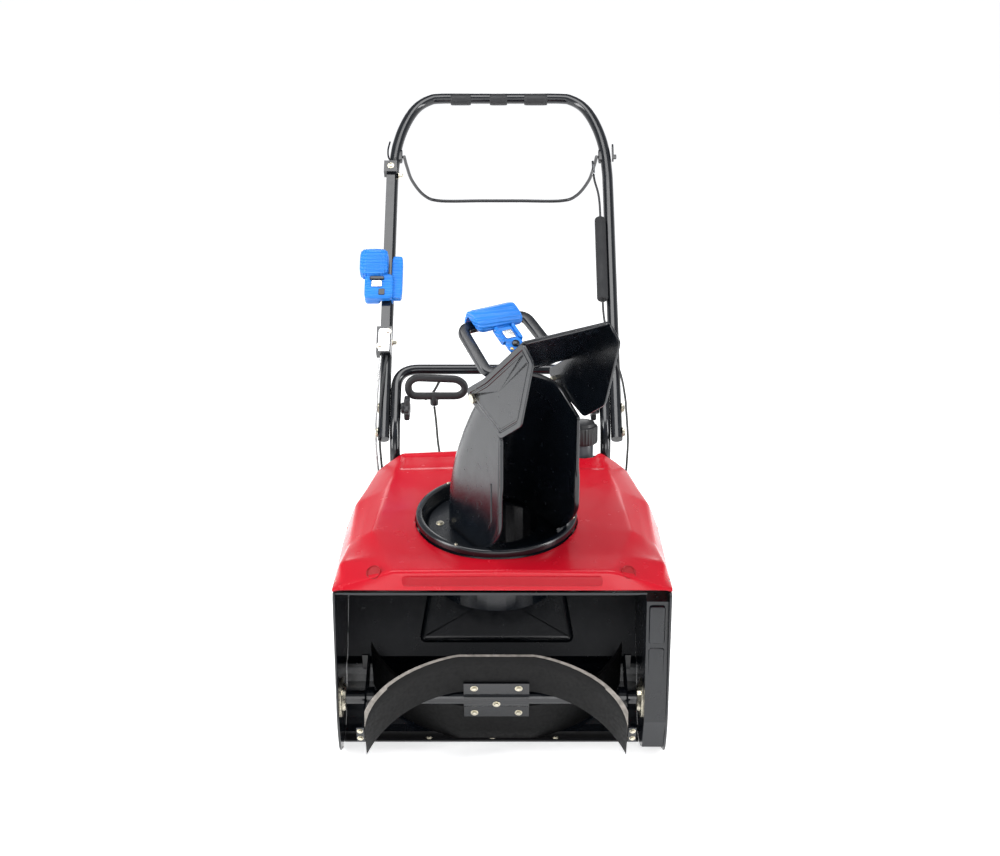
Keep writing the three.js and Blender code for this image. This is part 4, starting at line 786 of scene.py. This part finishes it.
# the grip: a block ribbed across its length
grip_block, grip_faces = soft_block((9, 5, -53), (69, 33.6, 3.6), lambda a, b, c: from_lever(c, a, b),
                                    power=0.42, rows=72, cols=48, ribs=(11, 0.05))
crease(fit("lever_grip", make_mesh("lever grip", *together([*lever_parts, (grip_block, grip_faces)])),
           "lever", blue_moulding, ["chute_lever"]), 42)
fit("lever_button",
    make_mesh("lever button", *soft_block((-28.6, -18.6, 22), (-7.4, -3.4, 29.6), from_lever, power=0.3)),
    "squeeze", bright_steel, ["lever_squeeze"])
lever_dark = [soft_block((-32, -2, 24.5), (-4, 5, 30.4), from_lever, power=0.3),
              soft_block((-14, -36, 25), (-2, -22, 27.2), from_lever, power=0.25)]
fit("lever_trim", make_mesh("lever trim", *together(lever_dark)), "lever", black_moulding)
rail_bolts = [from_handle(-222 + dx, y, 17 + dz)
              for dx, y, dz in ((0, 617, 15.2), (-8, 190, 16.2), (6, 222, 16.2))]
screws("rail_bolts", rail_bolts, handle_face, 4.6, 3.6, "handle", zinc_plate)
plate = soft_block((-233, 178, 32.6), (-212, 228, 34.2), from_handle, power=0.2)
fit("rail_plate", make_mesh("rail plate", *plate), "handle", bright_steel)
screws("rail_side_bolts", [from_handle(-207.4, 612, 6), from_handle(-207.4, 205, 20)], (1, 0, 0), 4.2, 9,
       "handle", zinc_plate)
steel_conduit = surface_finish("spiral steel conduit", (0.50, 0.50, 0.50), 0.3, metal=0.9, vary=0.1,
                               grain=900, bump=0.3, grain_axis=(0.2, 1, 1))
chute_cable = cable("chute_cable", [[-228, 175, 22], [-231, 142, 20], [-233, 102, 14], [-234, 66, 8],
                                    [-235, 40, 2], [-234, 0, -12], [-230, -40, -40], [-224, -70, -70],
                                    [-210, -100, -92]], 2.6, None, steel_conduit,
                    ["chute_cable_upper", "chute_cable_lower"])
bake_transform(chute_cable)
second_cable = cable("second_cable", [[-217, 175, 22], [-220, 142, 22], [-224, 102, 17], [-226, 66, 11],
                                      [-227, 40, 5], [-226, 0, -9], [-222, -40, -37], [-216, -70, -68],
                                      [-204, -98, -90]], 2.3, None, sheath, [])
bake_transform(second_cable)

# ---- Starter grip and rope
# The recoil starter's D-shaped black grip hangs in a wire guide on the crossbar. Its rope runs
# down to the starter housing and pays out when the grip is pulled.
def from_grip(x, z, y):
    """Grip outline to machine frame: x across, z up, y from front to back."""
    return np.stack([np.asarray(x) - 130, np.asarray(y) + 534, np.asarray(z) + 493], -1)


grip_line = rounded_outline([[-40, 10], [48, 10.5], [58.5, 20], [58, 33], [44, 43.5], [-36, 46.5],
                             [-49, 36], [-49, 19]], 9, 7)
grip_bar = bar_loop(grip_line, bar_section(6.8, 6.9, 24, 0.6), from_grip)
boss = lathe([[0, 10], [7, 10], [8, 8.4], [8, -6], [6.6, -8], [0, -8]], from_grip(0, 0, 0), (0, 0, 1), 24)
crease(fit("starter_grip",
           make_mesh("starter grip", *together([grip_bar, (boss, grid_faces(24, 6, along=True))])),
           "grip", knob_black, ["recoil_grip"]), 45)
guide_path = flowing([[-118, 550, 538], [-122, 547, 525], [-134, 545, 505], [-148, 545, 492]], 8)
crease(fit("rope_eye", make_mesh("rope eye", *strand(guide_path, 2.5, 12, guide=(0, 1, 0.1))), "chassis",
           black_paint, ["rope_guide"]), 60)
cord_weave = surface_finish("braided black cord", (0.016, 0.017, 0.016), 0.6, vary=0.3, grain=2200,
                            bump=0.35, grain_axis=(1, 1, 0.4))
rope_path = flowing([[-130, 533, 482], [-126, 510, 460], [-120, 470, 420], [-106, 425, 366],
                     [-94, 396, 318]], 10)
rope = fit("starter_cord", make_mesh("starter cord", *strand(rope_path, 2.2, 10, guide=(1, 0, 0))), None,
           cord_weave, ["starter_rope"])
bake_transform(rope)

# ---- Rotor
# A steel shaft across the intake carries two curved rubber paddles, held back to back between
# pressed clamp plates and on an arm at each end. Their black faces show; the cut edge is grey.
rotor_middle = np.array([-10.0, 60.0, 106.0])
rotor_turn = math.radians(112)
PADDLE_FLAT, PADDLE_TIP = 62, 219       # half-lengths of the flat middle and of the whole paddle
TIP_OFFSET, SWEEP = 91.5, 104.8         # the tips' distance off the clamp plane, and the outer edge's radius
RUBBER_HALF = 3.5
rotor_reach = np.array([0, math.cos(rotor_turn), math.sin(rotor_turn)])
rotor_off = np.array([0, -math.sin(rotor_turn), math.cos(rotor_turn)])


def from_rotor(x, y, z):
    """Rotor frame to machine frame: x along the shaft, y along the clamp plane, z off it."""
    x, y, z = (np.asarray(v, float)[..., None] for v in np.broadcast_arrays(x, y, z))
    return rotor_middle + x * np.array([1.0, 0, 0]) + y * rotor_reach + z * rotor_off


def arch(x):
    """How far a paddle leaves the clamp plane: flat to 62 mm, then (1 - sqrt(1 - (0.96 s)^2))^0.65
    of 91.5 mm, with s running from 0 there to 1 at the tip."""
    s = np.clip(np.abs(x) - PADDLE_FLAT, 0, None) / (PADDLE_TIP - PADDLE_FLAT)
    rise_by = lambda q: (1 - np.sqrt(1 - (0.96 * q) ** 2)) ** 0.65
    return TIP_OFFSET * rise_by(s) / rise_by(1.0), s


rubber_face = surface_finish("black rubber face", (0.002, 0.002, 0.0022), 0.5, vary=0.3, uneven=0.1,
                             grain=500, bump=0.08, drift=40, shine=0.15)
cut_rubber = surface_finish("grey cut rubber edge", (0.22, 0.20, 0.18), 0.7, vary=0.3, uneven=0.08,
                            grain=1500, bump=0.4, drift=120)
crowding = PADDLE_TIP * np.sin(np.linspace(0.285, np.pi / 2, 40))      # close together near the tips
station = np.concatenate([-crowding[::-1], np.linspace(-60, 60, 9), crowding])
lift, tip_part = arch(station)
slope = np.gradient(lift, station)
half_thick = RUBBER_HALF * np.minimum(np.sqrt(1 + slope ** 2), 1.9)
for which, flip in (("front", 1), ("rear", -1)):
    rows = []
    inner_edge = 18 - 52 * tip_part ** 3
    outwards = [(0, -1), (0.02, -1), (0.25, -1), (0.5, -1), (0.75, -1), (0.985, -1), (1, -0.7)]
    for part, layer in outwards + [(p, -side) for p, side in outwards[::-1]]:
        level = lift + layer * half_thick
        outer_edge = np.sqrt(SWEEP ** 2 - np.clip(level, -104, 104) ** 2)
        rows.append(np.stack([station, inner_edge + (outer_edge - inner_edge) * part, level], -1))
    skin = np.stack(rows, 1)
    points = from_rotor(skin[..., 0], flip * skin[..., 1], flip * skin[..., 2])
    count = len(station)
    faces = grid_faces(count, 14, around=True)
    ends = np.array([[e * 14 + k, e * 14 + k + 1, e * 14 + 12 - k, e * 14 + 13 - k]
                     for e in (0, count - 1) for k in range(6)])
    paddle = fit("paddle_" + which + "_sheet",
                 make_mesh("paddle " + which, points, np.concatenate([faces, ends])),
                 "rotor", rubber_face, ["paddle_" + which])
    paddle.data.materials.append(cut_rubber)
    face_mid = np.empty(len(paddle.data.polygons) * 3)
    paddle.data.polygons.foreach_get("center", face_mid)
    middle = face_mid.reshape(-1, 3) - metres(rotor_middle)
    edge_on = np.hypot(middle[:, 1], middle[:, 2]) > 0.1042
    paddle.data.polygons.foreach_set("material_index", edge_on.astype(np.int32))
    crease(paddle, 40)


dress(black_paint, "rotor_shaft", "rotor_clamp_front", "rotor_clamp_rear", "rotor_arm_left",
      "rotor_arm_right")
for which, flip in (("front", 1), ("rear", -1)):
    heads = [from_rotor(x, flip * y, flip * 6.9) for x, y in ((-38, 30), (38, 30), (-38, -32), (38, -32))]
    heads.append(from_rotor(0, 0, flip * 15.6))
    screws("clamp_bolts_" + which, heads, rotor_off * flip, 4.6, 3.8, "rotor", zinc_plate,
           washer=1.45)
for side in (-1, 1):
    arm = [from_rotor(side * 229, y, z) for z in (83.4, -83.4) for y in (-8, 10)]
    for way, spots in ((1, arm[:2]), (-1, arm[2:])):
        screws("arm_bolts_" + ("left" if side < 0 else "right") + ("_a" if way > 0 else "_b"), spots,
               rotor_off * way, 3.8, 3.0, "rotor", zinc_plate, washer=1.4)

# ---- Intake housing, side plates and scraper
# The housing is a black moulding with a curved back wall that leads up to the round throat.
# Painted steel side plates close both ends, and a wear strip is screwed along its lower edge.
dress(black_moulding, "intake_housing")
dress(black_paint, "side_plate_left", "side_plate_right")
scraper_black = surface_finish("matt black wear strip", (0.020, 0.020, 0.022), 0.5, vary=0.2, grain=600,
                               bump=0.12, grain_axis=(0.1, 1, 1))
dress(scraper_black, "scraper_bar")
front_rim = flowing([[3, 324], [1, 296], [7, 150], [11, 80], [34, 22], [74, 2.4]], 12)
for side in (-1, 1):
    name = "left" if side < 0 else "right"
    rim_path = np.stack([side * (278.6 + 0 * front_rim[:, 0]), front_rim[:, 0] + 1.4, front_rim[:, 1]], -1)
    rim = fit("plate_rim_" + name, make_mesh("plate rim " + name,
                                             *strand(rim_path, 2.2, 10, guide=(1, 0, 0))), "chassis",
              black_paint)
    crease(rim, 60)
    swage = rounded_outline([[26, 306], [26, 92], [72, 26], [138, 26], [222, 118], [286, 196],
                             [286, 306]], 22, 8)
    swage_plate = moulded_plate(swage, [(0, -0.6), (1.2, 0.7), (3, 1.0)],
                                lambda y, z, t, side=side: np.stack([side * (279.9 + t), y, z], -1))
    crease(fit("plate_swage_" + name, make_mesh("plate swage " + name, *swage_plate), "chassis",
               black_paint), 30)
    screws("bearing_bolts_" + name, [[side * 280.2, 60 + 27 * math.cos(t), 106 + 27 * math.sin(t)]
                                     for t in np.radians([45, 135, 225, 315])], (side, 0, 0), 4.4, 0.8,
           "chassis", zinc_plate, washer=1.3)
dress(zinc_plate, "bearing_left", "bearing_right")
wall_low, wall_high = np.array([202.0, 116.0]), np.array([300.0, 296.0])
wall_run = (wall_high - wall_low) / np.linalg.norm(wall_high - wall_low)
wall_out = np.array([-wall_run[1], wall_run[0]])


def on_back_wall(x, up_wall, out):
    """Points on the housing's sloping back wall: x across, up along the slope, out towards the mouth."""
    flat = wall_low + np.asarray(up_wall)[..., None] * wall_run + np.asarray(out)[..., None] * wall_out
    return np.concatenate([np.asarray(x, float)[..., None], flat], -1)


funnel = rounded_outline([[-150, 24], [130, 24], [102, 192], [-122, 192]], 16, 8)
pad = moulded_plate(funnel, [(0, -0.5), (1.5, 5), (5, 7.5), (12, 8), (14, 8)], on_back_wall)
crease(fit("housing_pads", make_mesh("housing pads", *pad), "chassis",
           black_moulding), 40)


def plain(x, y, z):
    """Machine coordinates as points, unturned."""
    return np.stack([x, y, z], -1)


roof_rib = [soft_block((-270, y - 2, 318.6), (232, y + 2, 323.6), plain, power=0.25, rows=8, cols=20)
            for y in np.linspace(10, 70, 3)]
fit("roof_ribs", make_mesh("roof ribs", *together(roof_rib)), "chassis", black_moulding)
screws("scraper_screws", [[x, 103.5, 5.0] for x in np.linspace(-240, 205, 5)], (0, 0.2, 1), 4, 2.6,
       "chassis", zinc_plate)

# ---- Belt drive and its guard
# The belt runs from the engine's pulley to the rotor's behind the right side plate, under a
# deep black cover. The idler arm presses the roller on the belt when the bail is drawn.
dress(black_moulding, "belt_guard")
dress(rubber_face, "drive_belt")
cast_aluminium = surface_finish("as-cast aluminium", (0.34, 0.35, 0.36), 0.42, metal=0.9, vary=0.12,
                                grain=380, bump=0.25)
dress(cast_aluminium, "rotor_pulley", "engine_pulley")
dress(zinc_plate, "idler_arm", "axle")
dress(knob_black, "idler_roller")
guard_face = [moulded_plate(rounded_outline([[244.5, z0], [271, z0], [271, z1], [244.5, z1]], 5, 5),
                            [(0, -0.4), (1.2, 1.4), (3, 1.8)],
                            lambda x, z, t: np.stack([x, 13.2 - (z - 84) * 0.0142 - 0.6 - t, z], -1))
              for z0, z1 in ((96, 150), (158, 222), (230, 298))]
crease(fit("guard_panels", make_mesh("guard panels", *together(guard_face)), "chassis",
           black_moulding), 35)

# ---- Wheels
# Moulded black wheels with solid rubber tyres turn on a steel axle through the deck's ears.
# The tyre has blocks across its tread, and a cap closes the hub.
tyre_rubber = surface_finish("matt tyre rubber", (0.020, 0.020, 0.021), 0.68, vary=0.2, grain=700, bump=0.2)
dress(knob_black, "wheel_left", "wheel_right")
tyre_profile = np.array([[62.3, -20], [72, -21.8], [84, -23], [90, -22.6], [95, -21], [99, -17.5],
                         [101, -13], [101.4, -8], [101.6, -3], [101.6, 3], [101.4, 8], [101, 13],
                         [99, 17.5], [95, 21], [90, 22.6], [84, 23], [72, 21.8], [62.3, 20], [62.3, -20]])
for side, name in ((-1, "left"), (1, "right")):
    hub = np.array([side * 237.0, 430, 102])
    skin = lathe(tyre_profile, hub, (1, 0, 0), 288)
    round_it = np.linspace(0, 2 * np.pi, 288, endpoint=False)[:, None]
    block = np.cos(round_it * 24 + 1.6 * np.sign(tyre_profile[None, :, 1]))
    deep = 3.2 * np.clip(-block * 3 - 0.6, 0, 1) * np.clip((tyre_profile[None, :, 0] - 90) / 9, 0, 1)
    spoke = skin - hub - (skin - hub)[..., :1] * np.array([1.0, 0, 0])
    skin = skin - spoke / np.linalg.norm(spoke, axis=-1, keepdims=True) * deep[..., None]
    crease(fit("tyre_" + name + "_tread",
               make_mesh("tyre " + name, skin, grid_faces(288, len(tyre_profile), along=True)),
               name + "_wheel", tyre_rubber, ["tyre_" + name]), 50)
    turned("hub_cap_" + name, [[0, 27.6], [9, 27.2], [13, 25.4], [14, 22.5], [14, 20.4], [0, 20.4]], hub,
           (side, 0, 0), name + "_wheel", black_moulding, count=40)
    web = [soft_block((19, -3, 0), (47, 3, 9), lambda a, b, c, t=t, side=side,
                      hub=hub: hub + np.stack([side * c, a * math.cos(t) - b * math.sin(t),
                                               a * math.sin(t) + b * math.cos(t)], -1), power=0.35,
                      rows=10, cols=20) for t in np.radians(np.arange(0, 360, 45))]
    crease(fit("wheel_webs_" + name, make_mesh("wheel webs " + name, *together(web)), name + "_wheel",
               knob_black), 45)

# ---- Deck, engine, muffler and tank
# A steel deck carries a small single-cylinder engine lying across the machine, with its rope
# starter on the left and its muffler and fuel tank on the right. Most of it is out of sight.
dress(black_paint, "engine_deck")
dress(cast_aluminium, "engine_block")
fins = [soft_block((-2, 414, z), (102, 474, z + 2.6), plain, power=0.2, rows=8, cols=20)
        for z in np.arange(196, 290, 8.5)]
crease(fit("cooling_fins", make_mesh("cooling fins", *together(fins)), "chassis",
           cast_aluminium), 40)
grey_moulding = surface_finish("dark grey moulding", (0.045, 0.050, 0.058), 0.4, vary=0.1, grain=500,
                               bump=0.1)
dress(grey_moulding, "recoil_cover")
louvres = [soft_block((26, -3.2, -1), (66, 3.2, 2.4), lambda a, b, c,
                      t=t: np.stack([-117.6 - c, 365 + a * math.cos(t) - b * math.sin(t),
                                     235 + a * math.sin(t) + b * math.cos(t)], -1), power=0.35, rows=8,
                      cols=18) for t in np.radians(np.arange(0, 360, 20))]
crease(fit("starter_louvres", make_mesh("starter louvres", *together(louvres)), "chassis",
           knob_black), 45)
turned("starter_boss", [[0, 4.6], [12, 4.2], [19, 2.6], [21, 0], [0, 0]], (-117.8, 365, 235), (-1, 0, 0),
       "chassis", grey_moulding, count=40)
hot_steel = surface_finish("heat-proof grey steel", (0.10, 0.095, 0.09), 0.5, metal=0.7, vary=0.3,
                           grain=420, bump=0.2)
shield = [soft_block((116.4, 400.4, 170.4), (177.6, 469.6, 299.6), plain, power=0.22)]
shield += [soft_block((124, 466, z), (170, 472, z + 5), plain, power=0.3, rows=10, cols=20)
           for z in np.arange(186, 286, 13)]
crease(fit("muffler_shell", make_mesh("muffler", *together(shield)), "chassis",
           hot_steel, ["muffler"]), 45)
crease(fit("air_box_shell",
           make_mesh("air box", *soft_block((-87.6, 446.4, 258.4), (-2.4, 475.6, 385.6), plain, power=0.22)),
           "chassis", grey_moulding, ["air_box"]), 45)
neck_ring = lathe([[0, 436], [17, 436], [20, 435], [21, 433], [21, 402], [0, 402]], (150, 455, 0),
                  (0, 0, 1), 40)
tank = [soft_block((24.4, 396.4, 326.4), (177.6, 477.6, 403.8), plain, power=0.26),
        (neck_ring, grid_faces(40, 6, along=True)),
        soft_block((22.6, 395, 362), (179, 479, 367), plain, power=0.12, rows=10, cols=60)]
crease(fit("tank_shell", make_mesh("tank", *together(tank)), "chassis", grey_moulding,
           ["fuel_tank"]), 45)
cap_profile = [[0, 478, 0], [18, 477.6, 0], [22.5, 475.8, 0], [23.6, 472, 0], [24, 470.6, 0],
               [27.4, 469.8, 0.6], [28.3, 467.5, 1], [28.3, 440, 1], [27.6, 437.4, 0.6], [26, 436.6, 0],
               [0, 436.6, 0]]
cap = lobed(cap_profile, (150, 455, 0), (0, 0, 1), lobes=30, depth=0.6, count=240)
crease(fit("tank_cap_grip", make_mesh("tank cap", *cap), "tank_cap", knob_black,
           ["fuel_cap"]), 50)

# ---- Rear panel and its controls
# A flat black panel closes the back, with a soft red primer bulb, a choke knob and a key.
dress(black_moulding, "rear_panel", "choke_knob")
panel_frame = bar_loop(rounded_outline([[-178, 152], [178, 152], [178, 392], [-178, 392]], 18, 8),
                       bar_section(3.2, 1.6, 20, 0.7), lambda x, z, t: np.stack([x, 485.2 + t, z], -1))
crease(fit("panel_frame", make_mesh("panel frame", *panel_frame), "chassis",
           black_moulding), 50)
soft_red = surface_finish("soft red bulb", (0.50, 0.010, 0.016), 0.5, vary=0.08, grain=900, bump=0.06)
bulb = [[0, 497], [5, 496.6], [9, 494.6], [11.8, 490], [12.6, 486], [12.8, 481.2], [0, 481.2]]
turned("primer_bulb", [[r, h - 481] for r, h in bulb], (20, 481, 352), (0, 1, 0), "primer",
       soft_red, ["primer_button"], count=40, sharp=60)
dress(zinc_plate, "ignition_key")
screws("panel_screws", [[x, 485.2, z] for x in (-172, 172) for z in (158, 386)], (0, 1, 0), 3.6, 2.2,
       "chassis", zinc_plate)

# ---- Floor, light and camera
# A wide white floor in a pale room, lit by two tall strips, a panel overhead, a low one in front and
# one behind.
floor_mat = surface_finish("white floor", (0.9, 0.9, 0.9), 0.9, vary=0.002, uneven=0.02, bump=0)
floor_inputs = floor_mat.node_tree.nodes["Principled BSDF"].inputs
floor_inputs["Specular IOR Level"].default_value = 0.0
floor_inputs["Emission Color"].default_value = (1, 1, 1, 1)
floor_inputs["Emission Strength"].default_value = 0.64
floor_mesh = bpy.data.meshes.new("floor")
reach = 60.0
floor_mesh.from_pydata([(-reach, -reach, -0.0006), (reach, -reach, -0.0006), (reach, reach, -0.0006),
                        (-reach, reach, -0.0006)], [], [(0, 1, 2, 3)])
floor_mesh.materials.append(floor_mat)
floor = bpy.data.objects.new("floor", floor_mesh)
bpy.context.collection.objects.link(floor)
world = bpy.data.worlds.new("pale room")
world.use_nodes = True
room = world.node_tree
heading = room.nodes.new("ShaderNodeSeparateXYZ")
room.links.new(room.nodes.new("ShaderNodeTexCoord").outputs["Generated"], heading.inputs["Vector"])
height_shade = room.nodes.new("ShaderNodeValToRGB")     # white round the horizon, grey overhead
at_horizon, overhead = height_shade.color_ramp.elements
at_horizon.position, at_horizon.color = 0.14, (1, 1, 1, 1)
overhead.position, overhead.color = 0.45, (0.34, 0.35, 0.37, 1)
room.links.new(heading.outputs["Z"], height_shade.inputs["Fac"])
room.links.new(height_shade.outputs["Color"], room.nodes["Background"].inputs["Color"])
room.nodes["Background"].inputs["Strength"].default_value = 1.0
bpy.context.scene.world = world
aim = Vector((0, -0.1, 0.45))
for name, place, size_x, size_y, watts in (
        ("left strip", (-2.1, -1.0, 1.5), 0.9, 2.4, 62), ("right strip", (2.2, -0.9, 1.4), 0.45, 2.4, 40),
        ("overhead panel", (0, -0.4, 2.8), 2.2, 1.4, 44), ("front panel", (0.5, -3.6, 1.0), 2.4, 0.7, 16),
        ("rear panel", (0, 2.9, 1.7), 2.4, 1.0, 20)):
    light = bpy.data.lights.new(name, "AREA")
    light.shape, light.size, light.size_y, light.energy = "RECTANGLE", size_x, size_y, watts
    lamp = bpy.data.objects.new(name, light)
    bpy.context.collection.objects.link(lamp)
    lamp.location = place
    lamp.rotation_euler = (aim - Vector(place)).to_track_quat("-Z", "Y").to_euler()
bpy.context.scene.view_settings.view_transform = "Standard"
bpy.context.scene.view_settings.look = "None"
lens = bpy.data.cameras.new("camera")
lens.lens, lens.sensor_width, lens.shift_x = 62.3, 36, -0.0023
camera = bpy.data.objects.new("camera", lens)
bpy.context.collection.objects.link(camera)
camera.location = metres([0, -2627.6, 1466.0]).tolist()
camera.rotation_euler = (math.radians(72), 0, 0)
bpy.context.scene.camera = camera
